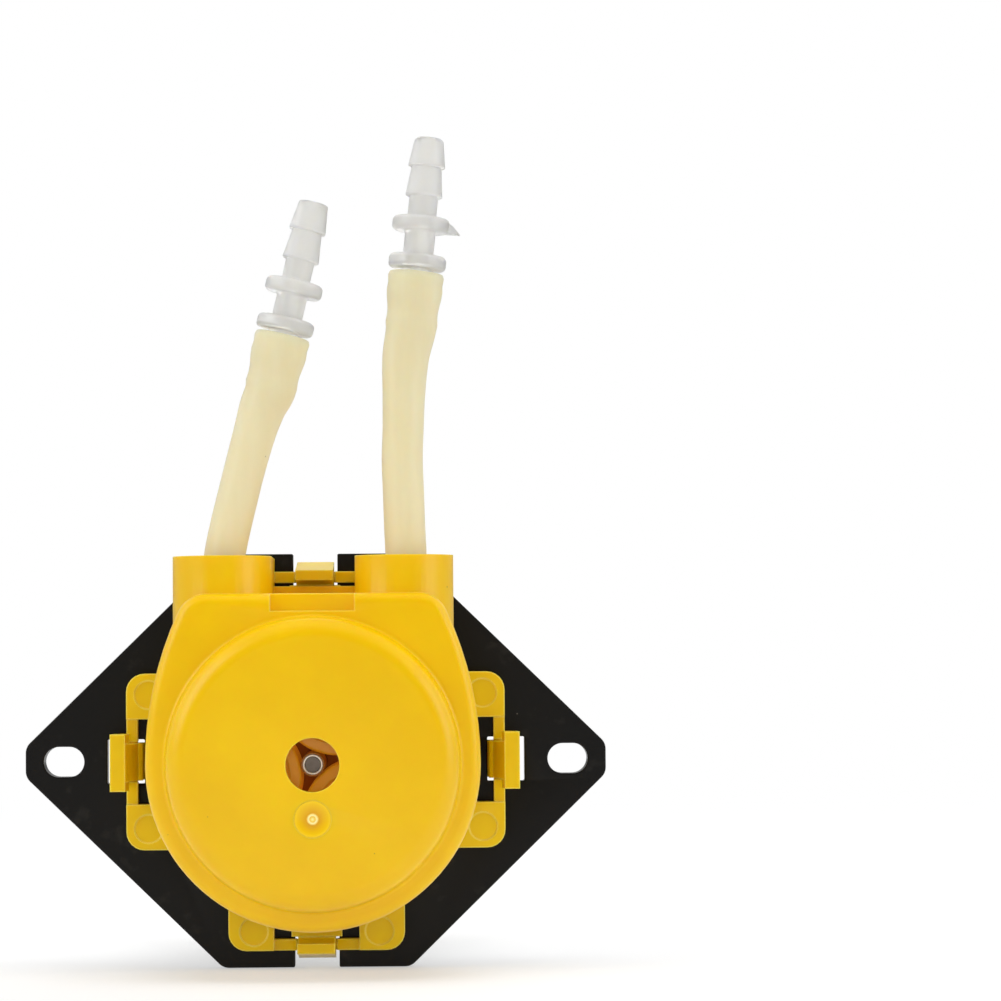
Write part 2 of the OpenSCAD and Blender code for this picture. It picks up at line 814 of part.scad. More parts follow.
module swept(stations) {
    count = len(stations);
    points = [for (i = [0:count - 1]) for (p = ring(stations, i)) p];
    sides = [
        for (i = [0:count - 2])
            for (k = [0:ring_sides - 1])
                let (
                    a = i * ring_sides + k,
                    b = i * ring_sides + (k + 1) % ring_sides,
                    c = b + ring_sides,
                    d = a + ring_sides
                )
                [d, c, b, a]
    ];
    first_end = [for (k = [0:ring_sides - 1]) k];
    last_end = [for (k = [ring_sides - 1:-1:0]) (count - 1) * ring_sides + k];
    polyhedron(points = points, faces = concat(sides, [first_end, last_end]), convexity = 10);
}

module pump_tube() {
    color("#e4d9ae")
        difference() {
            swept(tube_stations);
            swept(left_bore_stations);
            swept(right_bore_stations);
        }
}

// Half of a fitting from its collar outwards: collar, neck and two barbs
function fitting_half() =
    let (collar_h = collar_t / 2, root = barb_d / 2 - 0.35)
    [
        [collar_d / 2, collar_h], [neck_r, collar_h], [neck_r, barb_1], [barb_d / 2, barb_1],
        [root, barb_2], [barb_d / 2, barb_2], [neck_r, barb_tip]
    ];

module hose_fitting(collar, lean) {
    waist_r = barb_d / 2 - 0.32;
    half = fitting_half();
    upper = [for (p = half) [p[0], collar_pitch + p[1]]];
    lower = [for (p = half) [p[0], -p[1]]];
    waist = [
        [collar_d / 2, collar_t / 2], [waist_r, collar_t / 2],
        [waist_r, collar_pitch - collar_t / 2], [collar_d / 2, collar_pitch - collar_t / 2]
    ];
    color("#eae6e3")
        translate(collar)
            rotate([-back_lean, lean, 0])
                rotate_extrude()
                    polygon(concat(
                        [[fitting_bore / 2, -barb_tip]],
                        reversed(lower), waist, upper,
                        [[fitting_bore / 2, collar_pitch + barb_tip]]
                    ));
}

module left_fitting() {
    hose_fitting(left_collar, left_lean);
}

module right_fitting() {
    hose_fitting(right_collar, right_lean);
}

// Puts a copy at each roller's centre, or at one angle only
module at_rollers(angles) {
    for (a = angles)
        translate([roller_centre * cos(a), 0, roller_centre * sin(a)])
            children();
}

module at_posts() {
    for (a = roller_angles)
        translate([post_pitch_r * cos(a + 60), 0, post_pitch_r * sin(a + 60)])
            children();
}

module roller_carrier() {
    color("#d8d4cc")
        difference() {
            union() {
                rod(carrier_r, carrier_front_y, carrier_back_y);
                rod(shaft_r + 2.2, carrier_front_y, carrier_back_y + 0.6);
                at_posts() {
                    rod(post_r, ring_back_y, carrier_front_y + 0.1);
                    rod(spigot_r, ring_front_y, ring_back_y + 0.1);
                }
            }
            rod(shaft_r + running_gap, carrier_front_y - past, carrier_back_y + 1);
            at_rollers(roller_angles)
                rod(pin_d / 2 + fit_gap, carrier_front_y - past, carrier_back_y + past);
        }
}

module carrier_ring() {
    color("#d8d4cc")
        difference() {
            rod(carrier_r, ring_front_y, ring_back_y);
            rod(ring_open_r, ring_front_y - past, ring_back_y + past);
            at_posts()
                rod(spigot_r + fit_gap, ring_front_y - past, ring_back_y + past);
            at_rollers(roller_angles)
                rod(pin_d / 2 + fit_gap, ring_front_y - past, ring_back_y + past);
        }
}

module roller_pins() {
    color("#b9bbbd")
        at_rollers(roller_angles)
            rod(pin_d / 2, ring_front_y, carrier_back_y);
}

// Roller turned about its own centre line, its ends are recessed inside a rim
module roller(number) {
    rim = 1.5;
    recess = 0.8;
    hub_r = pin_d / 2 + 1.0;
    bore_r = pin_d / 2 + running_gap;
    edge = 0.25;
    color("#be7d14")
        at_rollers([roller_angles[number]])
            turned([
                [bore_r, roller_front], [hub_r, roller_front], [hub_r, roller_front + recess],
                [roller_r - rim, roller_front + recess], [roller_r - rim, roller_front],
                [roller_r - edge, roller_front], [roller_r, roller_front + edge],
                [roller_r, roller_back - edge], [roller_r - edge, roller_back],
                [roller_r - rim, roller_back], [roller_r - rim, roller_back - recess],
                [hub_r, roller_back - recess], [hub_r, roller_back], [bore_r, roller_back]
            ]);
}

module roller_1() {
    roller(0);
}

module roller_2() {
    roller(1);
}

module roller_3() {
    roller(2);
}

module motor_shaft() {
    tip = 0.35;
    color("#8d8f92")
        turned([
            [0, -shaft_reach], [shaft_r - tip, -shaft_reach], [shaft_r, -shaft_reach + tip],
            [shaft_r, shaft_back - tip], [shaft_r - tip, shaft_back], [0, shaft_back]
        ]);
}

// Cut through the can's side that leaves two strips, which are then pressed in
module stop_window() {
    narrow = window_half_w - 1.9;
    translate([0, 0, can_in_r - 1])
        linear_extrude(3)
            polygon([
                [-window_half_w, window_front], [window_half_w, window_front],
                [window_half_w, window_back - window_taper], [narrow, window_back],
                [-narrow, window_back], [-window_half_w, window_back - window_taper]
            ]);
}

// Height of the pressed strips' outside over the axis, at a distance from the window's middle
function strip_z(x) =
    let (t = max(0, (x - ridge) / (strip_out - ridge)))
    sqrt(can_r * can_r - x * x) - strip_drop * t * t * (3 - 2 * t);

// Middle ridge of the window and the two strips that are pressed in from it to hold the magnets apart
module magnet_stops() {
    ridge_end = 0.3;
    strip_end = 0.25;
    steps = 9;
    run = [for (i = [-steps:steps]) strip_out * i / steps];
    intersection() {
        difference() {
            rod(can_r, window_front - ridge_end, window_back + ridge_end);
            rod(can_in_r, window_front - ridge_end - past, window_back + ridge_end + past);
        }
        block([-ridge, window_front - ridge_end, 0], [ridge, window_back + ridge_end, can_r + 1]);
    }
    intersection() {
        slab(window_front + strip_end, window_back - strip_end)
            polygon(concat(
                [for (x = run) [x, strip_z(abs(x)) - 0.02]],
                [for (i = [len(run) - 1:-1:0]) [run[i], strip_z(abs(run[i])) - can_wall]]
            ));
        translate([0, 0, core_r - 2])
            linear_extrude(6)
                polygon([
                    [-strip_out, window_front], [strip_out, window_front],
                    [strip_out, window_back - window_taper], [strip_tip, window_back],
                    [-strip_tip, window_back], [-strip_out, window_back - window_taper]
                ]);
    }
}

module can_vent() {
    translate([0, vent_y, can_in_r - 2])
        linear_extrude(4) {
            for (s = [-1, 1])
                translate([s * (vent_half_w - vent_r), 0])
                    circle(r = vent_r);
            square([2 * (vent_half_w - vent_r), 2 * vent_r], center = true);
        }
}

// Three square notches in the can's open edge, which the end cap's keys fill
module edge_keys(gap, low_r, high_r, depth) {
    for (i = [-1:1])
        block([i * (key_w + tooth_w) - key_w / 2 + gap, can_length - depth, low_r],
              [i * (key_w + tooth_w) + key_w / 2 - gap, can_length + past, high_r]);
}

module motor_can() {
    inner_corner = can_corner_r - can_wall + 0.3;
    floor_y = can_front + can_front_t;
    dimple_y = 3.3;
    dimple_r = 0.6;
    dimple_depth = 0.3;
    color("#b4b4af")
        difference() {
            union() {
                difference() {
                    turned(concat(
                        [[bearing_r + fit_gap, -can_boss_h], [can_boss_r - 0.4, -can_boss_h],
                         [can_boss_r, -can_boss_h + 0.4], [can_boss_r, can_front]],
                        arc(can_r - can_corner_r, can_front + can_corner_r, can_corner_r, -90, 0, 6),
                        [[can_r, can_length], [can_in_r, can_length], [can_in_r, floor_y + inner_corner],
                         [can_in_r - inner_corner, floor_y], [bearing_r + fit_gap, floor_y]]
                    ));
                    both_ends()
                        stop_window();
                }
                both_ends()
                    magnet_stops();
            }
            both_ends() {
                can_vent();
                edge_keys(0, key_low_r, can_r + 1, key_depth);
            }
            for (s = [-1, 1])
                translate([s * screw_x, 0, 0])
                    rod(screw_r + running_gap, can_front - past, floor_y + past);
            for (a = [28, 152, 208, 332])
                rotate([0, a, 0])
                    translate([can_r - dimple_depth, dimple_y, 0])
                        rotate([0, 90, 0])
                            cylinder(r = dimple_r, h = 1);
        }
}

module motor_end_cap() {
    seat_wall = 1.2;
    slot_half_w = terminal_w / 2 + terminal_foot_step + fit_gap;
    slot_half_t = terminal_t / 2 + fit_gap;
    cap_r = can_r - 0.15;
    cap_edge = 0.3;
    boss_edge = 0.8;
    pocket_half_w = 4.1;
    pocket_depth = 1.0;
    pocket_z = terminal_z - 2;
    color("#c4bfae")
        difference() {
            union() {
                turned([
                    [0, can_length], [cap_r, can_length],
                    [cap_r, cap_back - cap_edge], [cap_r - cap_edge, cap_back],
                    [cap_boss_r, cap_back], [cap_boss_r, cap_boss_back - boss_edge],
                    [cap_boss_r - boss_edge, cap_boss_back], [0, cap_boss_back]
                ]);
                difference() {
                    rod(cap_skirt_r, can_length - cap_skirt, can_length + weld);
                    rod(cap_skirt_r - skirt_t, can_length - cap_skirt - past, can_length);
                }
                both_ends()
                    intersection() {
                        edge_keys(fit_gap, key_low_r, can_r, key_depth - fit_gap);
                        rod(can_r, can_length - cap_skirt, can_length + weld);
                    }
                rod(rear_bearing_r + seat_wall, can_length - 0.5, can_length + weld);
            }
            rod(rear_bearing_r + fit_gap, can_length - 1, bearing_seat_back);
            rod(shaft_r + 0.25, can_length, cap_boss_back + past);
            both_ends() {
                block([-pocket_half_w, cap_back - pocket_depth, pocket_z],
                      [pocket_half_w, cap_back + past, can_r + 1]);
                block([-slot_half_w, can_length - past, terminal_z - slot_half_t],
                      [slot_half_w, cap_back + past, terminal_z + slot_half_t]);
            }
        }
}

// Flat brass terminal through the end cap, with its solder slot, seen from above
module terminal() {
    tip_y = cap_back + terminal_reach;
    half_w = terminal_w / 2;
    foot_half_w = half_w + terminal_foot_step;
    step_front = cap_back - 0.6;
    step_back = cap_back - 0.1;
    tip_bevel = [0.6, 1.07];
    eye = [1.6, 2.4];
    eye_margin = 1.0;
    translate([0, 0, terminal_z - terminal_t / 2])
        linear_extrude(terminal_t)
            difference() {
                polygon([
                    [-foot_half_w, terminal_foot_y], [foot_half_w, terminal_foot_y],
                    [foot_half_w, step_front], [half_w, step_back],
                    [half_w, tip_y - tip_bevel[1]], [half_w - tip_bevel[0], tip_y],
                    [tip_bevel[0] - half_w, tip_y], [-half_w, tip_y - tip_bevel[1]],
                    [-half_w, step_back], [-foot_half_w, step_front]
                ]);
                translate([-eye[0] / 2, tip_y - eye_margin - eye[1]])
                    square(eye);
            }
}

module terminal_top() {
    color("#be9650")
        terminal();
}

module terminal_bottom() {
    color("#be9650")
        rotate([0, 180, 0])
            terminal();
}

// Bent leaf that runs from a terminal's foot down beside the commutator and across its brush
module brush_arm() {
    leaf = 0.3;
    short_x = -1.4;
    skirt_gap = 0.1;
    half_l = brush_l / 2;
    terminal_low_z = terminal_z - terminal_t / 2;
    arm_x = sqrt(pow(cap_skirt_r - skirt_t - skirt_gap, 2) - terminal_low_z * terminal_low_z);
    block([short_x, brush_y - half_l, brush_out_r], [arm_x, brush_y + half_l, brush_out_r + leaf]);
    block([arm_x - leaf, brush_y - half_l, brush_out_r], [arm_x, brush_y + half_l, terminal_low_z]);
    block([-1, brush_y - half_l, terminal_low_z - leaf], [arm_x, terminal_foot_y + 1, terminal_low_z]);
}

module brush_arm_top() {
    color("#b08a4a")
        brush_arm();
}

module brush_arm_bottom() {
    color("#b08a4a")
        rotate([0, 180, 0])
            brush_arm();
}

module brush() {
    half_l = brush_l / 2;
    half_w = 1.2;
    difference() {
        block([-half_w, brush_y - half_l, 0], [half_w, brush_y + half_l, brush_out_r]);
        rod(commutator_r + running_gap, brush_y - brush_l, brush_y + brush_l);
    }
}

module brush_top() {
    color("#3a3a3c")
        brush();
}

module brush_bottom() {
    color("#3a3a3c")
        rotate([0, 180, 0])
            brush();
}

module magnet() {
    half_angle = 62;
    out_r = can_in_r - fit_gap;
    magnet_front = core_front - 4.5;
    magnet_back = core_back + 3.0;
    slab(magnet_front, magnet_back)
        polygon(concat(
            arc(0, 0, out_r, -half_angle, half_angle, 24),
            arc(0, 0, magnet_r, half_angle, -half_angle, 24)
        ));
}

module magnet_left() {
    color("#4b4a48")
        rotate([0, 180, 0])
            magnet();
}

module magnet_right() {
    color("#4b4a48")
        magnet();
}

// Lamination outline: a hub, one stem for each pole and a curved shoe on each stem
stem_w = 2.6;
hub_r = 4.2;
shoe_t = 1.5;
module lamination() {
    shoe_angle = 180 / poles - 6;
    circle(r = hub_r);
    for (i = [0:poles - 1])
        rotate(90 + 360 * i / poles) {
            translate([0, -stem_w / 2])
                square([core_r - shoe_t / 2, stem_w]);
            polygon(concat(
                arc(0, 0, core_r, -shoe_angle, shoe_angle, 12),
                arc(0, 0, core_r - shoe_t, shoe_angle - 4, 4 - shoe_angle, 10)
            ));
        }
}

module armature_core() {
    color("#6d6f72")
        slab(core_front, core_back)
            difference() {
                lamination();
                circle(r = shaft_r + fit_gap);
            }
}

// One coil round a pole's stem, seen from the front as two tapered sides, with rounded end turns
module coil() {
    in_r = hub_r + 0.3;
    out_r = core_r - shoe_t - 0.25;
    in_half = in_r * sin(180 / poles) - 0.2;
    out_angle = 180 / poles - 4;
    difference() {
        slab(winding_front, winding_back)
            polygon(concat(
                [[in_r, -in_half]],
                arc(0, 0, out_r, -out_angle, out_angle, 8),
                [[in_r, in_half]]
            ));
        slab(core_front - fit_gap, core_back + fit_gap)
            translate([0, -stem_w / 2 - fit_gap])
                square([core_r, stem_w + 2 * fit_gap]);
        for (y = [winding_front, winding_back])
            translate([out_r, y, 0])
                rotate([0, 0, 45])
                    cube([2.2, 2.2, 2 * out_r], center = true);
    }
}

module windings() {
    color("#8f4425")
        for (i = [0:poles - 1])
            rotate([0, -90 - 360 * i / poles, 0])
                coil();
}

module commutator() {
    riser_t = 0.7;
    groove_depth = 0.5;
    groove_w = 0.3;
    color("#b87a4a")
        difference() {
            turned([
                [shaft_r + fit_gap, commutator_front], [riser_r, commutator_front],
                [riser_r, commutator_front + riser_t], [commutator_r, commutator_front + riser_t],
                [commutator_r, commutator_back], [shaft_r + fit_gap, commutator_back]
            ]);
            for (i = [0:poles - 1])
                rotate([0, 18 + 360 * i / poles, 0])
                    block([commutator_r - groove_depth, commutator_front - past, -groove_w / 2],
                          [riser_r + past, commutator_back + past, groove_w / 2]);
        }
}

module front_bearing() {
    color("#a07a45")
        turned([
            [shaft_r + running_gap, -can_boss_h], [bearing_r, -can_boss_h],
            [bearing_r, bearing_back], [shaft_r + running_gap, bearing_back]
        ]);
}

module rear_bearing() {
    back = bearing_seat_back - fit_gap;
    bore = shaft_r + running_gap;
    color("#a07a45")
        turned([
            [bore, rear_bearing_front], [rear_bearing_r, rear_bearing_front],
            [rear_bearing_r, back], [bore, back]
        ]);
}

// Washers beside the front bearing, the spacers up to the core and the washer at the rear bearing
module thrust_washers() {
    bore = shaft_r + fit_gap;
    front = bearing_back + running_gap;
    washer_t = 0.4;
    washer_r = shaft_r + 1.4;
    spacer_r = shaft_r + 0.9;
    color("#c9b37a")
        for (part = [
            [washer_r, front, front + washer_t],
            [washer_r, front + washer_t + fit_gap, front + 2 * washer_t],
            [spacer_r, front + 2 * washer_t + fit_gap, core_front - fit_gap],
            [spacer_r, core_back + fit_gap, commutator_front - fit_gap],
            [washer_r, commutator_back + fit_gap, rear_bearing_front - running_gap]
        ])
            turned([[bore, part[1]], [part[0], part[1]], [part[0], part[2]], [bore, part[2]]]);
}

module motor_screws() {
    head_front = bracket_front - screw_head_h;
    head_edge = 0.7;
    cross_half_l = 1.3;
    cross_half_w = 0.25;
    cross_depth = 0.8;
    color("#a9abad")
        for (s = [-1, 1])
            translate([s * screw_x, 0, 0])
                difference() {
                    turned(concat(
                        [[0, head_front]],
                        arc(screw_head_r - head_edge, head_front + head_edge, head_edge, -90, 0, 4),
                        [[screw_head_r, bracket_front], [screw_r, bracket_front],
                         [screw_r, screw_back], [0, screw_back]]
                    ));
                    for (a = [0, 90])
                        rotate([0, a, 0])
                            block([-cross_half_l, head_front - past, -cross_half_w],
                                  [cross_half_l, head_front + cross_depth, cross_half_w]);
                }
}

mounting_bracket();
base_plate();
head_housing();
latch_top();
latch_bottom();
latch_left();
latch_right();
pump_tube();
left_fitting();
right_fitting();
roller_carrier();
carrier_ring();
roller_pins();
roller_1();
roller_2();
roller_3();
motor_shaft();
motor_can();
motor_end_cap();
terminal_top();
terminal_bottom();
brush_arm_top();
brush_arm_bottom();
brush_top();
brush_bottom();
magnet_left();
magnet_right();
armature_core();
windings();
commutator();
front_bearing();
rear_bearing();
thrust_washers();
motor_screws();
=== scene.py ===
"""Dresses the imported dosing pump: moulded head, silicone tube, barbed fittings, panel bracket and can motor.

Lengths are written in millimetres in the class fields and turned to metres by MM where a mesh is made.
X is to the right, Y runs back along the motor and Z is up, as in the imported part.
"""
from __future__ import annotations

import functools
import logging
import math
from dataclasses import dataclass, field
from enum import Enum
from typing import Any, Sequence

import bmesh
import bpy
from mathutils import Matrix, Quaternion, Vector

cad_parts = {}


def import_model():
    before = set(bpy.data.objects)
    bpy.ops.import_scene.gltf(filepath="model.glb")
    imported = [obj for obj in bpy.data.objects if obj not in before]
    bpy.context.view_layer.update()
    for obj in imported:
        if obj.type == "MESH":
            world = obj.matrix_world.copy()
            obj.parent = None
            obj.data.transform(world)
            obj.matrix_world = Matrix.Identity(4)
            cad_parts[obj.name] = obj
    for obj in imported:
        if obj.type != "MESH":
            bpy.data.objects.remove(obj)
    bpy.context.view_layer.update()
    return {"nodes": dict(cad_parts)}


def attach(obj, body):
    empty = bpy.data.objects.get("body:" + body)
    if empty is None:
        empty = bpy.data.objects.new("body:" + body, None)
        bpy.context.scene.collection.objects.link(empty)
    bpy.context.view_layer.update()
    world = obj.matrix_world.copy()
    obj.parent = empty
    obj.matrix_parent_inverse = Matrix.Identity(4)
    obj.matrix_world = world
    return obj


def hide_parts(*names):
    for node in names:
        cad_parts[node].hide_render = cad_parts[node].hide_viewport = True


MM = 0.001
log = logging.getLogger("dosing_pump")

Piece = bpy.types.Object
Socket = bpy.types.NodeSocket
Tree = bpy.types.NodeTree
Material = bpy.types.Material
Point = tuple[float, float, float]
Outline = list[tuple[float, float]]
# Node kinds that are used more than once
COORDINATES = "ShaderNodeTexCoord"
NOISE = "ShaderNodeTexNoise"
CELLS = "ShaderNodeTexVoronoi"
RANGE = "ShaderNodeMapRange"
MIX = "ShaderNodeMix"
MATH = "ShaderNodeMath"
VECTOR_MATH = "ShaderNodeVectorMath"
MAPPING = "ShaderNodeMapping"
BUMP = "ShaderNodeBump"
PRINCIPLED = "ShaderNodeBsdfPrincipled"
OUTPUT = "ShaderNodeOutputMaterial"
COMBINE = "ShaderNodeCombineXYZ"
RAYS = "ShaderNodeLightPath"
INSTANCES = "GeometryNodeInstanceOnPoints"
REALIZE = "GeometryNodeRealizeInstances"
LINE = "GeometryNodeMeshLine"
INDEX = "GeometryNodeInputIndex"


class Body(str, Enum):
    """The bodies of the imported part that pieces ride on."""

    PUMP = "pump_body"
    ARMATURE = "armature"
    CARRIER = "carrier"
    ROLLER_ONE = "roller_one"
    ROLLER_TWO = "roller_two"
    ROLLER_THREE = "roller_three"
    TOP_LEVER = "top_lever"
    BOTTOM_LEVER = "bottom_lever"
    LEFT_LEVER = "left_lever"
    RIGHT_LEVER = "right_lever"


def linear(hex_colour: str) -> tuple[float, float, float, float]:
    """Turns an sRGB hex colour into a linear colour with full alpha.

    Args:
        hex_colour: Six hex digits, with or without a leading hash.

    Returns:
        Red, green, blue and alpha.
    """
    digits = hex_colour.lstrip("#")
    channels = [int(digits[i:i + 2], 16) / 255 for i in (0, 2, 4)]
    toe, power = 0.04045, 2.4
    straight = [c / 12.92 if c <= toe else ((c + 0.055) / 1.055) ** power for c in channels]
    return straight[0], straight[1], straight[2], 1.0


def put(tree: Tree, kind: str, inputs: dict[Any, Any] | None = None,
        **settings: Any) -> bpy.types.Node:
    """Adds a node with its settings, socket values and links.

    Args:
        tree: The node tree that the node goes in.
        kind: The node's type name.
        inputs: Socket name or number to a value, to an output socket to link from, or to a node whose
            first output is linked. A hex colour is made linear.
        **settings: Properties that are set on the node itself.

    Returns:
        The new node.
    """
    node = tree.nodes.new(kind)
    for name, value in settings.items():
        setattr(node, name, value)
    for key, value in (inputs or {}).items():
        if isinstance(value, bpy.types.Node):
            value = value.outputs[0]
        elif isinstance(value, str):
            value = linear(value)
        if isinstance(value, Socket):
            tree.links.new(value, node.inputs[key])
        else:
            node.inputs[key].default_value = value
    return node


def blank_material(name: str) -> tuple[Material, Tree]:
    """Starts a material with an empty node tree.

    Args:
        name: The material's name.

    Returns:
        The material and its tree.
    """
    material = bpy.data.materials.new(name)
    material.use_nodes = True
    material.node_tree.nodes.clear()
    return material, material.node_tree


def per_mm(size_mm: float) -> float:
    """Scale of a pattern whose features are so many millimetres across."""
    return 1 / (size_mm * MM)


@dataclass(frozen=True)
class Finish:
    """A material whose patterns follow the object and are sized in real millimetres."""

    name: str

    def paint(self, tree: Tree, place: Socket) -> dict[str, Any]:
        """Adds the finish's pattern nodes.

        Args:
            tree: The material's tree.
            place: Object coordinates.

        Returns:
            The shader's inputs.
        """
        raise NotImplementedError

    def build(self) -> Material:
        """Makes the material.

        Returns:
            The finished material.
        """
        material, tree = blank_material(self.name)
        place = put(tree, COORDINATES).outputs["Object"]
        shader = put(tree, PRINCIPLED, self.paint(tree, place))
        put(tree, OUTPUT, {"Surface": shader})
        return material


@functools.cache
def material_of(finish: Finish) -> Material:
    """Builds a finish's material the first time that it is asked for."""
    return finish.build()


@dataclass(frozen=True)
class MouldedPlastic(Finish):
    """Injection moulded plastic.

    The eye gets an even colour with faint flow clouds, a satin skin whose gloss changes with the fine
    grain of an eroded tool and a few specks of dust; where set, a painted glow and a painted edge highlight.
    """

    colour: str
    cloud_colour: str
    roughness: float = 0.35
    grain_mm: float = 0.22
    grain_height_mm: float = 0.004
    cloud_mm: float = 9.0
    scatter: float = 0.0
    scatter_mm: float = 1.2
    scatter_tint: tuple[float, float, float] = (1.0, 0.55, 0.18)
    gloss: float = 0.5
    # painted glow: emission of the plastic's own colour, for light that the part does not get from the lamps
    glow: float = 0.0
    ior: float = 1.53
    scuffs: float = 0.0
    scuff_colour: str = "#8a857e"
    speck_colour: str = "#8f7430"
    speck_spacing_mm: float = 4.5
    speck_mm: float = 0.11
    # painted highlight: a pale colour along the edges, over a band this wide
    edge_mm: float = 0.1
    edge_highlight: str = ""

    def paint(self, tree: Tree, place: Socket) -> dict[str, Any]:
        """Adds the pattern nodes and returns the shader's inputs."""
        clouds = put(tree, NOISE,
                     {"Vector": place, "Scale": per_mm(self.cloud_mm), "Detail": 3.0, "Roughness": 0.55})
        soft = put(tree, RANGE, {"Value": clouds, "From Min": 0.35, "From Max": 0.65})
        tint = put(tree, MIX, {0: soft, 6: self.colour, 7: self.cloud_colour}, data_type="RGBA")
        dots = put(tree, CELLS, {"Vector": place, "Scale": per_mm(self.speck_spacing_mm)})
        reach = self.speck_mm / self.speck_spacing_mm
        speck = put(tree, RANGE,
                    {"Value": dots, "From Min": reach * 0.6, "From Max": reach,
                     "To Min": 0.75, "To Max": 0.0})
        dusty = put(tree, MIX, {0: speck, 6: tint.outputs[2], 7: self.speck_colour}, data_type="RGBA")
        rub = put(tree, NOISE, {"Vector": place, "Scale": per_mm(2.2), "Detail": 6.0, "Roughness": 0.55})
        rubbed = put(tree, RANGE, {"Value": rub, "From Min": 0.6, "From Max": 0.78, "To Max": self.scuffs})
        worn = put(tree, MIX, {0: rubbed, 6: dusty.outputs[2], 7: self.scuff_colour}, data_type="RGBA")
        grain = put(tree, NOISE,
                    {"Vector": place, "Scale": per_mm(self.grain_mm), "Detail": 2.0, "Roughness": 0.55})
        satin = put(tree, RANGE,
                    {"Value": grain, "To Min": self.roughness - 0.05, "To Max": self.roughness + 0.08})
        rough = put(tree, MATH, {0: satin, 1: rubbed}, operation="ADD")
        relief = {"Distance": self.grain_height_mm * MM, "Height": grain}
        skin = worn
        # Painted highlight: the Bevel node finds the edges and the pale edge colour is mixed in there
        if self.edge_highlight:
            corner = put(tree, "ShaderNodeBevel", {"Radius": self.edge_mm * MM}, samples=4)
            flat = put(tree, "ShaderNodeNewGeometry").outputs["Normal"]
            agree = put(tree, VECTOR_MATH, {0: corner, 1: flat}, operation="DOT_PRODUCT")
            # thin is how near an edge a point lies: the mask of the painted highlight
            thin = put(tree, RANGE,
                       {"Value": agree.outputs["Value"], "From Min": 0.998, "From Max": 0.94,
                        "To Max": 0.85})
            skin = put(tree, MIX, {0: thin, 6: worn.outputs[2], 7: self.edge_highlight}, data_type="RGBA")
            relief["Normal"] = corner.outputs[0]
        bump = put(tree, BUMP, relief)
        # The emission of the plastic's own colour is the painted glow
        return {
            "Base Color": skin.outputs[2], "Roughness": rough, "Normal": bump, "IOR": self.ior,
            "Specular IOR Level": self.gloss, "Subsurface Weight": self.scatter,
            "Subsurface Radius": self.scatter_tint, "Subsurface Scale": self.scatter_mm * MM,
            "Emission Color": self.colour, "Emission Strength": self.glow}


@dataclass(frozen=True)
class GateScar(Finish):
    """Moulded plastic round the gate, where the melt entered.

    The eye gets a nub and a ring in painted highlights, painted shade of deeper orange in the moat round them,
    a paler painted rim and a fade to the colour of the wall, under a satin skin.
    """

    centre: Point
    reach_mm: float = 1.74
    # painted highlight on the nub and ring, painted shade in the moat, and the wall's own colour at the edge
    highlight_and_shade_stops: tuple[tuple[float, str], ...] = (
        (0.0, "#fff0a0"), (0.09, "#ffe678"), (0.15, "#f3c41c"), (0.21, "#fff3b0"), (0.28, "#ffe880"),
        (0.34, "#e2a304"), (0.55, "#eab206"), (0.82, "#f2c300"), (0.94, "#f8cc14"), (1.0, "#f2c500"))

    def paint(self, tree: Tree, place: Socket) -> dict[str, Any]:
        """Adds the pattern nodes and returns the shader's inputs."""
        middle = tuple(value * MM for value in self.centre)
        away = put(tree, VECTOR_MATH, {0: place, 1: middle}, operation="SUBTRACT")
        flat = put(tree, VECTOR_MATH, {0: away, 1: (1.0, 0.0, 1.0)}, operation="MULTIPLY")
        distance = put(tree, VECTOR_MATH, {0: flat}, operation="LENGTH")
        share = put(tree, MATH, {0: distance.outputs["Value"], 1: self.reach_mm * MM}, operation="DIVIDE")
        # Painted highlight and painted shade, by distance from the gate's centre
        tint = put(tree, "ShaderNodeValToRGB", {0: share})
        stops = tint.color_ramp.elements
        for at, colour in self.highlight_and_shade_stops[1:-1]:
            stops.new(at).color = linear(colour)
        stops[0].color = linear(self.highlight_and_shade_stops[0][1])
        stops[len(stops) - 1].color = linear(self.highlight_and_shade_stops[-1][1])
        grain = put(tree, NOISE, {"Vector": place, "Scale": per_mm(0.22), "Detail": 2.0})
        bump = put(tree, BUMP, {"Distance": 0.004 * MM, "Height": grain})
        return {
            "Base Color": tint, "Roughness": 0.3, "Normal": bump, "IOR": 1.53, "Specular IOR Level": 0.34}


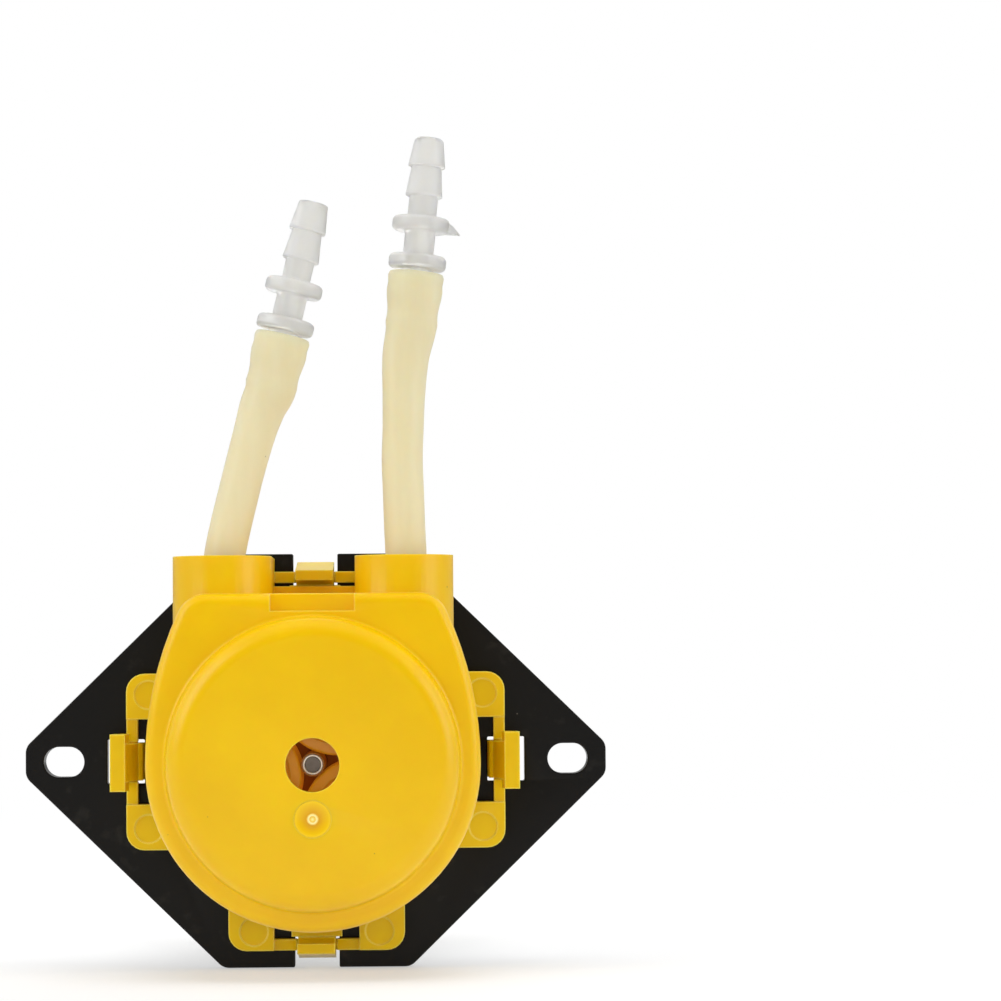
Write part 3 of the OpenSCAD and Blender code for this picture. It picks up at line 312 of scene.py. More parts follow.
@dataclass(frozen=True)
class SpangledSteel(Finish):
    """Zinc plated drawing steel.

    The eye gets a grey satin metal with small crystals that each catch the light alone, fine pits from
    drawing, and darker finger marks a few millimetres wide.
    """

    colour: str = "#d3d4cf"
    dark_colour: str = "#8b8c88"
    crystal_mm: float = 0.28
    mark_share: float = 0.3
    roughness: float = 0.36

    def paint(self, tree: Tree, place: Socket) -> dict[str, Any]:
        """Adds the pattern nodes and returns the shader's inputs."""
        wobble = put(tree, NOISE, {"Vector": place, "Scale": per_mm(self.crystal_mm * 0.7), "Detail": 2.0})
        bent = put(tree, VECTOR_MATH,
                   {0: wobble.outputs["Color"], "Scale": self.crystal_mm * MM * 0.8}, operation="SCALE")
        moved = put(tree, VECTOR_MATH, {0: place, 1: bent}, operation="ADD")
        crystals = put(tree, CELLS, {"Vector": moved, "Scale": per_mm(self.crystal_mm)})
        value = put(tree, "ShaderNodeSeparateColor", {0: crystals.outputs["Color"]})
        marks = put(tree, NOISE, {"Vector": place, "Scale": per_mm(4.0), "Detail": 5.0, "Roughness": 0.6})
        marked = put(tree, RANGE, {"Value": marks, "From Min": 0.36, "From Max": 0.66})
        faint = put(tree, MATH, {0: value, 1: 0.6}, operation="MULTIPLY")
        both = put(tree, MATH, {0: marked, 1: self.mark_share, 2: faint}, operation="MULTIPLY_ADD")
        tint = put(tree, MIX, {0: both, 6: self.colour, 7: self.dark_colour}, data_type="RGBA")
        rough = put(tree, RANGE,
                    {"Value": value.outputs[1], "To Min": self.roughness - 0.1,
                     "To Max": self.roughness + 0.12})
        fine = put(tree, NOISE, {"Vector": place, "Scale": per_mm(0.12), "Detail": 3.0})
        height = put(tree, MATH, {0: value.outputs[2], 1: fine}, operation="ADD")
        bump = put(tree, BUMP, {"Distance": 0.01 * MM, "Height": height})
        return {"Base Color": tint.outputs[2], "Roughness": rough, "Normal": bump, "Metallic": 1.0}


@dataclass(frozen=True)
class TurnedMetal(Finish):
    """Metal that was turned, rolled or drawn.

    The eye gets fine lines across one axis that stretch the highlight, and a slight tarnish in spots.
    """

    colour: str
    tarnish: str
    roughness: float = 0.25
    line_mm: float = 0.08
    line_axis: int = 1
    metallic: float = 1.0

    def paint(self, tree: Tree, place: Socket) -> dict[str, Any]:
        """Adds the pattern nodes and returns the shader's inputs."""
        squeeze = [0.06, 0.06, 0.06]
        squeeze[self.line_axis] = 1.0
        lined = put(tree, MAPPING, {"Vector": place, "Scale": tuple(squeeze)})
        lines = put(tree, NOISE, {"Vector": lined, "Scale": per_mm(self.line_mm), "Detail": 2.0})
        patches = put(tree, NOISE, {"Vector": place, "Scale": per_mm(1.6), "Detail": 3.0})
        spots = put(tree, RANGE, {"Value": patches, "From Min": 0.42, "From Max": 0.7})
        tint = put(tree, MIX, {0: spots, 6: self.colour, 7: self.tarnish}, data_type="RGBA")
        rough = put(tree, RANGE,
                    {"Value": lines, "To Min": self.roughness - 0.06, "To Max": self.roughness + 0.1})
        bump = put(tree, BUMP, {"Strength": 0.6, "Distance": 0.004 * MM, "Height": lines})
        return {
            "Base Color": tint.outputs[2], "Roughness": rough, "Normal": bump, "Metallic": self.metallic}


@dataclass(frozen=True)
class ClearSoft(Finish):
    """Translucent moulded or extruded material, silicone or natural polypropylene.

    The eye gets light that goes in and comes out softened, faint streaks along the flow, a dusty skin
    that breaks the gloss, and a few dark specks held in the surface.
    """

    colour: str
    deep_colour: str
    roughness: float
    transmission: float
    scatter: float
    scatter_mm: float
    ior: float
    streak_mm: float = 1.4
    speck_colour: str = "#8d8163"
    speck_spacing_mm: float = 3.2
    speck_mm: float = 0.09

    def paint(self, tree: Tree, place: Socket) -> dict[str, Any]:
        """Adds the pattern nodes and returns the shader's inputs."""
        stretched = put(tree, MAPPING, {"Vector": place, "Scale": (1.0, 1.0, 0.15)})
        streaks = put(tree, NOISE, {"Vector": stretched, "Scale": per_mm(self.streak_mm), "Detail": 3.0})
        tint = put(tree, MIX, {0: streaks, 6: self.colour, 7: self.deep_colour}, data_type="RGBA")
        dots = put(tree, CELLS, {"Vector": place, "Scale": per_mm(self.speck_spacing_mm)})
        reach = self.speck_mm / self.speck_spacing_mm
        speck = put(tree, RANGE,
                    {"Value": dots, "From Min": reach * 0.6, "From Max": reach,
                     "To Min": 0.6, "To Max": 0.0})
        dusty = put(tree, MIX, {0: speck, 6: tint.outputs[2], 7: self.speck_colour}, data_type="RGBA")
        dust = put(tree, NOISE, {"Vector": place, "Scale": per_mm(0.35), "Detail": 3.0})
        rough = put(tree, RANGE,
                    {"Value": dust, "To Min": self.roughness - 0.06, "To Max": self.roughness + 0.1})
        bump = put(tree, BUMP, {"Strength": 0.7, "Distance": 0.008 * MM, "Height": dust})
        return {
            "Base Color": dusty.outputs[2], "Roughness": rough, "Normal": bump, "IOR": self.ior,
            "Transmission Weight": self.transmission, "Subsurface Weight": self.scatter,
            "Subsurface Radius": (1.0, 0.85, 0.6), "Subsurface Scale": self.scatter_mm * MM}


@dataclass(frozen=True)
class StackedSteel(Finish):
    """Armature laminations: half millimetre plates seen on edge.

    The eye gets even dark and bright bands, one pair for each plate, under a thin oxide film.
    """

    plate_mm: float = 0.5

    def paint(self, tree: Tree, place: Socket) -> dict[str, Any]:
        """Adds the pattern nodes and returns the shader's inputs."""
        band_scale = math.tau / (20 * self.plate_mm * MM)
        bands = put(tree, "ShaderNodeTexWave", {"Vector": place, "Scale": band_scale},
                    wave_type="BANDS", bands_direction="Y", wave_profile="SIN")
        tint = put(tree, MIX, {0: bands.outputs["Fac"], 6: "#2b2c2e", 7: "#434548"}, data_type="RGBA")
        bump = put(tree, BUMP, {"Distance": 0.03 * MM, "Height": bands.outputs["Fac"]})
        return {"Base Color": tint.outputs[2], "Normal": bump, "Metallic": 0.9, "Roughness": 0.45}


@dataclass(frozen=True)
class StreakedFilm(Finish):
    """Metal under a thin film, or a metallised film itself.

    The eye gets streaks or clouds between two close colours, and a second, sharper gloss from a coat.
    """

    colour: str
    dark_colour: str
    roughness: float
    metallic: float
    streak_mm: float
    stretch: tuple[float, float, float] = (1.0, 1.0, 1.0)
    coat: float = 0.0

    def paint(self, tree: Tree, place: Socket) -> dict[str, Any]:
        """Adds the pattern nodes and returns the shader's inputs."""
        along = put(tree, MAPPING, {"Vector": place, "Scale": self.stretch})
        streaks = put(tree, NOISE, {"Vector": along, "Scale": per_mm(self.streak_mm), "Detail": 3.0})
        tint = put(tree, MIX, {0: streaks, 6: self.colour, 7: self.dark_colour}, data_type="RGBA")
        return {"Base Color": tint.outputs[2], "Metallic": self.metallic, "Roughness": self.roughness,
                "Coat Weight": self.coat, "Coat Roughness": 0.12}


# Housing: yellow ABS, satin from the tool, with a painted highlight of pale yellow along its edges
HOUSING_YELLOW = MouldedPlastic(
    "moulded_abs_housing_yellow", "#f1c500", "#ecbe00", 0.3, gloss=0.34, scatter=0.42, scatter_mm=1.2,
    edge_mm=0.16, edge_highlight="#ffe25c")
# Gate mark: the same ABS, with a painted highlight on the nub and its ring and painted shade in the moat round
# them
GATE_YELLOW = GateScar("moulded_abs_gate_mark", centre=(0.0, -22.9, -5.1))
# Base and levers: the same ABS, a shade greener, with a painted highlight along the edges and a faint painted
# glow
BASE_YELLOW = MouldedPlastic(
    "moulded_abs_base_yellow", "#e8c604", "#dfbd00", 0.34, gloss=0.3, scatter=0.4, scatter_mm=1.1,
    glow=0.03, edge_mm=0.22, edge_highlight="#fff07e")
# Bracket: black ABS with a coarser grain, grey rub marks and pale dust
BRACKET_BLACK = MouldedPlastic(
    "moulded_abs_black", "#0f0d0b", "#0d0c0a", 0.34, grain_mm=0.28, grain_height_mm=0.006, gloss=0.2,
    scuffs=0.05, speck_colour="#6d6962", speck_spacing_mm=3.4, speck_mm=0.1)
# End cap: natural nylon, milky and a little greenish
NATURAL_CAP = MouldedPlastic(
    "moulded_nylon_natural", "#c8c6b7", "#bab8a8", 0.38, scatter=0.5, scatter_mm=1.6, scatter_tint=(1.0,
    0.9, 0.7))
# Carrier: amber nylon like the rollers, darkened by painted shade as it lies deep in the head; faint painted
# glow
CARRIER_AMBER = MouldedPlastic(
    "moulded_nylon_carrier", "#b07020", "#9e6418", 0.34, scatter=0.3, scatter_mm=0.9, glow=0.015)
# Rollers: amber nylon, polished by running, with a painted glow for the light that the thin dome passes on
# and a painted highlight along their edges
ROLLER_AMBER = MouldedPlastic(
    "moulded_nylon_amber", "#f8ac24", "#ee9e18", 0.3, scatter=0.4, scatter_mm=1.6, scatter_tint=(1.0, 0.6,
    0.25), glow=0.12, edge_mm=0.12, edge_highlight="#ffd27a")
# Brushes: pressed carbon, dull and faintly grainy
PRESSED_CARBON = MouldedPlastic(
    "pressed_carbon", "#2b2b2d", "#232325", 0.55, grain_mm=0.12, grain_height_mm=0.02,
    speck_colour="#3a3a3c")
# Magnets: sintered ferrite, dark grey and matt with a sandy grain
SINTERED_FERRITE = MouldedPlastic(
    "sintered_ferrite", "#403f3e", "#383736", 0.6, grain_mm=0.15, grain_height_mm=0.02,
    speck_colour="#5a5958")
# Washers: punched fibre paper, tan and matt
WASHER_FIBRE = MouldedPlastic("punched_fibre", "#c8b27c", "#bba56d", 0.5)
# Can: zinc plated steel
CAN_STEEL = SpangledSteel("zinc_plated_steel")
# Shaft, pins and screws: ground steel with a tight bright highlight
GROUND_STEEL = TurnedMetal("ground_steel", "#c6c7c9", "#aaabad", 0.2)
# Shaft end: the face left by parting off, brownish and dull
PARTED_STEEL = TurnedMetal("parted_steel_face", "#8b8178", "#6f665e", 0.42, line_mm=0.2)
# Rolled edge round the shaft end: a painted highlight, near-white half-metal so that the front lamp lights it
# bright
LIP_HIGHLIGHT_STEEL = TurnedMetal("steel_lip_painted_highlight", "#faf8f5", "#efece8", 0.22, metallic=0.5)
# Terminals and brush arms: rolled brass with a brown tarnish
ROLLED_BRASS = TurnedMetal("rolled_brass", "#c9a262", "#a9813f", 0.28, line_axis=0)
# Bushes: sintered bronze, oily and soft in its highlight
SINTERED_BRONZE = TurnedMetal("sintered_bronze", "#a57e49", "#8b673a", 0.45)
# Commutator: turned copper
BARE_COPPER = TurnedMetal("turned_copper", "#b8734a", "#8f5330", 0.3)
# Tube: extruded silicone, yellowed and cloudy
SILICONE = ClearSoft("extruded_silicone", "#f4ecca", "#ece0b4", 0.42, 0.12, 0.85, 2.0, 1.41)
# Fittings: natural polypropylene, nearly white and more see-through than the tube
NATURAL_POLYPROPYLENE = ClearSoft(
    "moulded_polypropylene_natural", "#fdfcf9", "#f7f6f2", 0.3, 0.72, 0.4, 2.4, 1.49,
    speck_colour="#efede8", speck_spacing_mm=6.0, speck_mm=0.06)
# Armature: stacked steel plates
LAMINATIONS = StackedSteel("laminated_core_steel")
# Windings: bright copper under a thin amber enamel
MAGNET_WIRE = StreakedFilm("enamelled_copper_wire", "#b4562c", "#7c3518", 0.3, 0.85, 1.1, coat=0.6)
# Label: blank metallised film, plain silver and less bright than the can
LABEL_FILM = StreakedFilm(
    "metallised_film_label", "#c6cacd", "#b2b6ba", 0.42, 0.75, 0.16, stretch=(1.0, 0.04, 1.0))


def arc(cx: float, cy: float, r: float, a0: float, a1: float, steps: int) -> Outline:
    """Points along an arc.

    Args:
        cx: Centre, first coordinate.
        cy: Centre, second coordinate.
        r: Radius.
        a0: First angle in degrees.
        a1: Last angle in degrees.
        steps: Number of steps between the two.

    Returns:
        The points.
    """
    angles = [math.radians(a0 + (a1 - a0) * i / steps) for i in range(steps + 1)]
    return [(cx + r * math.cos(a), cy + r * math.sin(a)) for a in angles]


def linked(name: str, data: bpy.types.ID) -> Piece:
    """Adds an object that shows some data to the scene.

    Args:
        name: The object's name.
        data: Its mesh, camera or light.

    Returns:
        The object, at the origin.
    """
    made = bpy.data.objects.new(name, data)
    bpy.context.scene.collection.objects.link(made)
    return made


def mesh_object(name: str, points: Sequence[Sequence[float]], faces: Sequence[Sequence[int]],
                smooth_angle: float = 35.0) -> Piece:
    """Makes an object from points in millimetres, with doubles merged and faces turned outward.

    Args:
        name: The object's name.
        points: Points in millimetres.
        faces: Lists of point numbers.
        smooth_angle: Edges sharper than this stay crisp.

    Returns:
        The linked object, at the origin.
    """
    mesh = bpy.data.meshes.new(name)
    mesh.from_pydata([tuple(c * MM for c in p) for p in points], [], [list(f) for f in faces])
    build = bmesh.new()
    build.from_mesh(mesh)
    bmesh.ops.remove_doubles(build, verts=build.verts, dist=1e-7)
    bmesh.ops.recalc_face_normals(build, faces=build.faces)
    build.to_mesh(mesh)
    build.free()
    mesh.shade_smooth()
    mesh.set_sharp_from_angle(angle=math.radians(smooth_angle))
    return linked(name, mesh)


def along_y(x: float = 0.0, z: float = 0.0) -> Matrix:
    """Turns the Z axis onto a line along Y, whose X and Z are given in millimetres."""
    return Matrix.Translation(Vector((x, 0, z)) * MM) @ Matrix.Rotation(math.radians(-90), 4, "X")


def lathe(name: str, outline: Outline, place: Matrix, steps: int = 64,
          smooth_angle: float = 35.0) -> Piece:
    """Turns a closed outline about the Z axis and moves its points to their place.

    Args:
        name: The object's name.
        outline: Radius and height of each corner, in millimetres.
        place: Where the turned shape goes.
        steps: Number of steps round.
        smooth_angle: Edges sharper than this stay crisp.

    Returns:
        The turned object, at the origin.
    """
    points = [(r * math.cos(math.tau * k / steps), r * math.sin(math.tau * k / steps), z)
              for k in range(steps) for r, z in outline]
    n = len(outline)
    faces = [(k * n + i, k * n + (i + 1) % n, ((k + 1) % steps) * n + (i + 1) % n, ((k + 1) % steps) * n + i)
             for k in range(steps) for i in range(n)]
    piece = mesh_object(name, points, faces, smooth_angle)
    piece.data.transform(place)
    return piece


def wear(piece: Piece, finish: Finish) -> None:
    """Gives a piece one material all over."""
    piece.data.materials.clear()
    piece.data.materials.append(material_of(finish))


def settle(piece: Piece, finish: Finish, body: Body, slot: str, *nodes: str) -> None:
    """Gives a piece its finish, hangs it on its body, and hides the nodes that it stands for.

    Args:
        piece: The finished piece.
        finish: The finish it wears.
        body: The body it moves with.
        slot: The record's material slot; not used.
        *nodes: The nodes that it replaces.
    """
    wear(piece, finish)
    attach(piece, body.value)
    if nodes:
        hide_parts(*nodes)
    log.info("%s rides on %s, %d faces", piece.name, body.value, len(piece.data.polygons))


class Pump:
    """What every sub-assembly shares: the loaded frame."""

    nodes: dict[str, Piece] = {}

    def dress(self, node: str, finish: Finish) -> None:
        """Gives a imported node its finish.

        Args:
            node: The node's name.
            finish: The finish it wears.
        """
        wear(self.nodes[node], finish)
        log.info("%s wears %s", node, finish.name)

    def softened(self, node: str, finish: Finish, body: Body, slot: str, edge_mm: float = 0.15,
                 smooth_angle: float = 32.0) -> None:
        """Makes a copy of a node with merged faces and softly broken edges, as moulding leaves them.

        Args:
            node: The node that the piece stands for.
            finish: The finish it wears.
            body: The body it moves with.
            slot: The record's material slot.
            edge_mm: Width of the broken edges.
            smooth_angle: Edges sharper than this are broken.
        """
        mesh = self.nodes[node].data.copy()
        mesh.materials.clear()
        piece = linked(node + "_finished", mesh)
        build = bmesh.new()
        build.from_mesh(mesh)
        bmesh.ops.remove_doubles(build, verts=build.verts, dist=0.002 * MM)
        bmesh.ops.dissolve_limit(
            build, angle_limit=math.radians(0.6), use_dissolve_boundaries=False, verts=build.verts,
            edges=build.edges, delimit={"NORMAL"})
        build.to_mesh(mesh)
        build.free()
        mesh.shade_smooth()
        mesh.set_sharp_from_angle(angle=math.radians(smooth_angle))
        bevel = piece.modifiers.new("broken_edges", "BEVEL")
        bevel.width = edge_mm * MM
        bevel.segments = 3
        bevel.limit_method = "ANGLE"
        bevel.angle_limit = math.radians(smooth_angle)
        bevel.harden_normals = True
        bevel.use_clamp_overlap = True
        bevel.miter_outer = "MITER_ARC"
        self.apply(piece)
        settle(piece, finish, body, slot, node)

    @staticmethod
    def apply(piece: Piece) -> None:
        """Turns a piece's modifiers into plain mesh and removes them."""
        graph = bpy.context.evaluated_depsgraph_get()
        finished = bpy.data.meshes.new_from_object(piece.evaluated_get(graph))
        old = piece.data
        piece.modifiers.clear()
        piece.data = finished
        bpy.data.meshes.remove(old)


@dataclass
class PanelBracket(Pump):
    """Black diamond bracket that the head clips on and the motor is screwed to."""

    edge_mm: float = 0.2

    def build(self) -> None:
        """Makes the bracket and dresses the motor screws."""
        self.softened("mounting_bracket", BRACKET_BLACK, Body.PUMP, "black_abs", self.edge_mm)
        self.dress("motor_screws", GROUND_STEEL)


@dataclass
class HeadShell(Pump):
    """Yellow housing, its base plate and the four latch levers."""

    housing_edge_mm: float = 0.22
    base_edge_mm: float = 0.15
    lever_edge_mm: float = 0.12
    dome_y: float = -23.0
    gate_z: float = -5.1
    dish_r: float = 1.74
    dish_depth: float = 0.2

    def gate_mark(self) -> None:
        """Turns the shallow dish under the dome's moulding gate and the nub that the gate left in it."""
        y = self.dome_y
        outline = [
            (0.0, y + 0.02), (0.1, y + 0.03), (0.18, y + 0.08), (0.26, y + 0.09), (0.34, y + 0.03), (0.41,
            y), (0.48, y + 0.02), (0.52, y + 0.1), (0.58, y + 0.17), (0.75, y + 0.17), (1.0, y + 0.14),
            (1.3, y + 0.08), (self.dish_r - 0.16, y + 0.01), (self.dish_r - 0.08, y), (self.dish_r,
            y + 0.015), (self.dish_r, y + self.dish_depth + 0.01), (0.0, y + self.dish_depth + 0.01)]
        piece = lathe("gate_mark", outline, along_y(z=self.gate_z), 48)
        settle(piece, GATE_YELLOW, Body.PUMP, "yellow_housing")

    def build(self) -> None:
        """Makes the housing, the base and the levers."""
        self.gate_mark()
        self.softened("head_housing", HOUSING_YELLOW, Body.PUMP, "yellow_housing", self.housing_edge_mm)
        self.softened("base_plate", BASE_YELLOW, Body.PUMP, "yellow_base", self.base_edge_mm)
        for node, body in (("latch_top", Body.TOP_LEVER), ("latch_bottom", Body.BOTTOM_LEVER),
                           ("latch_left", Body.LEFT_LEVER), ("latch_right", Body.RIGHT_LEVER)):
            self.softened(node, BASE_YELLOW, body, "yellow_base", self.lever_edge_mm)


@dataclass
class HoseFitting(Pump):
    """One double barb hose fitting, turned outline with moulded radii, leaning as the tube holds it."""

    node: str
    collar: Point
    lean: float
    back_lean: float = 2.1
    collar_r: float = 2.8
    collar_half_t: float = 0.675
    pitch: float = 3.73
    waist_r: float = 1.48
    neck_r: float = 1.4
    barb_r: float = 1.8
    root_r: float = 1.45
    neck_l: float = 2.1
    barb_l: float = 2.9
    bore_r: float = 0.8
    radius: float = 0.28
    rim_radius: float = 0.42
    tip_radius: float = 0.2
    flash: float = 0.0

    def flash_fin(self) -> Piece:
        """Makes the pointed fin of plastic that the mould left on the upper collar's rim."""
        middle, half = self.pitch, self.collar_half_t
        root, reach = self.collar_r - 0.6, self.collar_r + self.flash
        side = [(root, middle - half * 0.9), (self.collar_r + 0.1, middle - half * 0.98),
                (reach, middle - half * 1.05), (reach - 0.08, middle - half * 0.85),
                (self.collar_r + 0.35, middle + half * 0.1), (root, middle + half * 0.85)]
        count = len(side)
        spread = [1.1, 0.65, 0.06, 0.06, 0.45, 1.0]
        points = [(x, sign * w, z) for sign in (-1, 1) for (x, z), w in zip(side, spread)]
        sides = [(i, (i + 1) % count, count + (i + 1) % count, count + i) for i in range(count)]
        ends = [tuple(range(count)), tuple(range(count, 2 * count))]
        return mesh_object("flash_fin", points, ends + sides)

    def end_outline(self) -> Outline:
        """Outline of one end, from the collar's middle to the tip.

        Returns:
            Radius and height above the collar's middle.
        """
        first = self.collar_half_t + self.neck_l
        tip = first + 2 * self.barb_l
        r = self.radius
        edge = self.rim_radius
        rim = arc(self.collar_r - edge, self.collar_half_t - edge, edge, 0, 90, 5)
        foot = arc(self.neck_r + r, self.collar_half_t + r, r, 270, 180, 4)
        barbs: Outline = []
        for root, low in ((self.neck_r, first), (self.root_r, first + self.barb_l)):
            barbs += [(root, low), (self.barb_r - 0.06, low), (self.barb_r, low + 0.07),
                      (self.barb_r - 0.02, low + 0.3)]
        return (rim + foot + barbs
                + [(self.neck_r + 0.06, tip - self.tip_radius)]
                + arc(self.neck_r - self.tip_radius + 0.06, tip - self.tip_radius, self.tip_radius, 0, 90, 4)
                + [(self.bore_r + 0.12, tip), (self.bore_r, tip - 0.12)])

    def build(self) -> None:
        """Turns the fitting and puts it in its place."""
        end = self.end_outline()
        r = self.radius
        half, edge = self.collar_half_t, self.rim_radius
        waist = (arc(self.collar_r - edge, half - edge, edge, 0, 90, 5)
                 + arc(self.waist_r + r, half + r, r, 270, 180, 4)
                 + arc(self.waist_r + r, self.pitch - half - r, r, 180, 90, 4)
                 + arc(self.collar_r - edge, self.pitch - half + edge, edge, -90, 0, 5))
        lower = [(a, -b) for a, b in reversed(end)]
        upper = [(a, b + self.pitch) for a, b in end]
        piece = lathe(self.node + "_finished", lower + waist + upper, Matrix(), 48, 50.0)
        if self.flash:
            fin = self.flash_fin()
            build = bmesh.new()
            build.from_mesh(piece.data)
            build.from_mesh(fin.data)
            build.to_mesh(piece.data)
            build.free()
            bpy.data.objects.remove(fin)
        turn = (Matrix.Rotation(math.radians(self.lean), 4, "Y")
                @ Matrix.Rotation(math.radians(-self.back_lean), 4, "X"))
        piece.data.transform(Matrix.Translation(Vector(self.collar) * MM) @ turn)
        settle(piece, NATURAL_POLYPROPYLENE, Body.PUMP, "white_nylon", self.node)


@dataclass
class PumpTube(Pump):
    """Silicone tube from fitting to fitting, stretched over the barbs and pressed flat along the track."""

    tube_r: float = 2.0
    bore_r: float = 1.0
    flat_half_t: float = 0.85
    flat_half_w: float = 2.65
    track_r: float = 13.28
    track_y: float = -13.6
    block_x: float = 8.8
    entry_top: float = 14.5
    entry_angle: float = 33.0
    channel_hold: float = 2.9
    track_lead: float = 2.6
    track_steps: int = 44
    entry_steps: int = 6
    swell: tuple[float, float] = (0.28, 0.08)
    lip: Outline = field(default_factory=lambda: [(0.9, -0.03), (0.62, 0.0), (0.6, 0.6)])
    back_lean: float = 2.1
    left_collar: Point = (-2.6, -12.7, 42.5)
    left_lean: float = 13.3
    right_collar: Point = (10.3, -12.4, 48.6)
    right_lean: float = 5.9
    left_tail: list[Point] = field(default_factory=lambda: [
        (-4.8, -12.9, 34.6), (-5.6, -13.0, 32.1), (-6.6, -13.1, 28.5), (-7.5, -13.3, 24.9),
        (-8.1, -13.4, 22.4), (-8.6, -13.5, 19.8), (-8.8, -13.6, 17.0)])
    right_tail: list[Point] = field(default_factory=lambda: [
        (9.1, -12.7, 39.3), (8.9, -12.8, 35.7), (8.8, -12.9, 32.1), (8.7, -13.0, 29.4),
        (8.8, -13.2, 26.0), (8.9, -13.3, 22.6), (9.0, -13.5, 19.8), (8.8, -13.6, 17.0)])
    sleeve: Outline = field(default_factory=lambda: [
        (0.98, 2.4), (1.05, 2.6), (1.4, 2.73), (2.1, 2.66), (2.8, 2.72), (3.5, 2.66), (4.5, 2.5),
        (5.3, 2.47), (6.0, 2.54), (6.7, 2.45)])
    sides: int = 28
    step: float = 0.5

    def axis(self, lean: float) -> Vector:
        """Direction that a fitting points in."""
        side, back = math.radians(lean), math.radians(self.back_lean)
        return Vector((math.cos(back) * math.sin(side), math.sin(back), math.cos(back) * math.cos(side)))

    def entry(self, t: float, side: int) -> tuple[Vector, float, float]:
        """Station on the curve by which the tube runs from a channel into the track.

        Args:
            t: From 0 in the channel to 1 on the track.
            side: 1 on the right, -1 on the left.

        Returns:
            Place, half thickness and half width.
        """
        a = math.radians(self.entry_angle)
        end = Vector((self.track_r * math.cos(a), self.track_r * math.sin(a)))
        start = Vector((self.block_x, self.entry_top))
        hold = start - Vector((0, self.channel_hold))
        lead = end + self.track_lead * Vector((-math.sin(a), math.cos(a)))
        p = (1 - t) ** 3 * start + 3 * (1 - t) ** 2 * t * hold + 3 * (1 - t) * t * t * lead + t ** 3 * end
        ease = t * t * (3 - 2 * t)
        thick = self.tube_r + (self.flat_half_t - self.tube_r) * ease
        wide = self.tube_r + (self.flat_half_w - self.tube_r) * ease
        return Vector((side * p[0], self.track_y, p[1])), thick, wide

    def stations(self) -> list[tuple[Vector, float, float]]:
        """All stations from the left fitting to the right one."""

        def end_of(collar: Point, lean: float, tail: list[Point]) -> list[tuple[Vector, float, float]]:
            """Stations of one free end, from its fitting to its block."""
            straight = [(Vector(collar) - d * self.axis(lean), r, r) for d, r in self.sleeve]
            radii = [self.tube_r + extra for extra in self.swell] + [self.tube_r] * (len(tail) - 2)
            return straight + [(Vector(p), r, r) for p, r in zip(tail, radii)]

        around = []
        steps = self.track_steps
        for i in range(1, steps):
            a = math.radians(180 - self.entry_angle + (180 + 2 * self.entry_angle) * i / steps)
            around.append((Vector((self.track_r * math.cos(a), self.track_y, self.track_r * math.sin(a))),
                           self.flat_half_t, self.flat_half_w))
        ts = [i / self.entry_steps for i in range(self.entry_steps + 1)]
        left = end_of(self.left_collar, self.left_lean, self.left_tail)
        right = end_of(self.right_collar, self.right_lean, self.right_tail)
        return (left + [self.entry(t, -1) for t in ts] + around
                + [self.entry(t, 1) for t in reversed(ts)] + list(reversed(right)))

    def refined(self, coarse: list[tuple[Vector, float, float]]) -> list[tuple[Vector, float, float]]:
        """Runs a smooth curve through the stations, timed by the distance between them.

        Args:
            coarse: The stations.

        Returns:
            A finer list of stations on the same curve.
        """
        rows = [[*s[0], s[1], s[2]] for s in coarse]
        times = [0.0]
        for before, after in zip(coarse, coarse[1:]):
            times.append(times[-1] + (after[0] - before[0]).length)
        last = len(rows) - 1
        slopes = []
        for i in range(last + 1):
            low, high = max(i - 1, 0), min(i + 1, last)
            span = times[high] - times[low]
            slopes.append([(b - a) / span for a, b in zip(rows[low], rows[high])])
        fine = []
        for i in range(last):
            span = times[i + 1] - times[i]
            steps = max(1, round(span / self.step))
            for k in range(steps):
                u = k / steps
                w0, w1 = 2 * u ** 3 - 3 * u * u + 1, 3 * u * u - 2 * u ** 3
                w2, w3 = (u ** 3 - 2 * u * u + u) * span, (u ** 3 - u * u) * span
                row = [w0 * a + w1 * b + w2 * c + w3 * d
                       for a, b, c, d in zip(rows[i], rows[i + 1], slopes[i], slopes[i + 1])]
                fine.append((Vector(row[:3]), row[3], row[4]))
        fine.append(coarse[-1])
        return fine

    def build(self) -> None:
        """Sweeps the tube and closes its two ends with rounded lips round the bore."""
        path = self.refined(self.stations())
        points: list[Vector] = []
        count = len(path)
        for i, (place, thick, wide) in enumerate(path):
            run = path[min(i + 1, count - 1)][0] - path[max(i - 1, 0)][0]
            across = Vector((run.z, 0, -run.x)).normalized()
            for k in range(self.sides):
                a = math.tau * k / self.sides
                points.append(place + across * thick * math.cos(a) + Vector((0, wide * math.sin(a), 0)))
        n = self.sides
        faces = [(i * n + k, i * n + (k + 1) % n, (i + 1) * n + (k + 1) % n, (i + 1) * n + k)
                 for i in range(count - 1) for k in range(n)]
        for ring, lean in ((0, self.left_lean), (count - 1, self.right_lean)):
            last = list(range(ring * n, ring * n + n))
            for share, depth in self.lip:
                centre = path[ring][0] - depth * self.axis(lean)
                first = len(points)
                points += [centre + (points[ring * n + k] - path[ring][0]) * share for k in range(n)]
                new = list(range(first, first + n))
                faces += [(last[k], last[(k + 1) % n], new[(k + 1) % n], new[k]) for k in range(n)]
                last = new
            faces.append(tuple(last))
        piece = mesh_object("pump_tube_finished", points, faces, 60.0)
        settle(piece, SILICONE, Body.PUMP, "silicone_tube", "pump_tube")


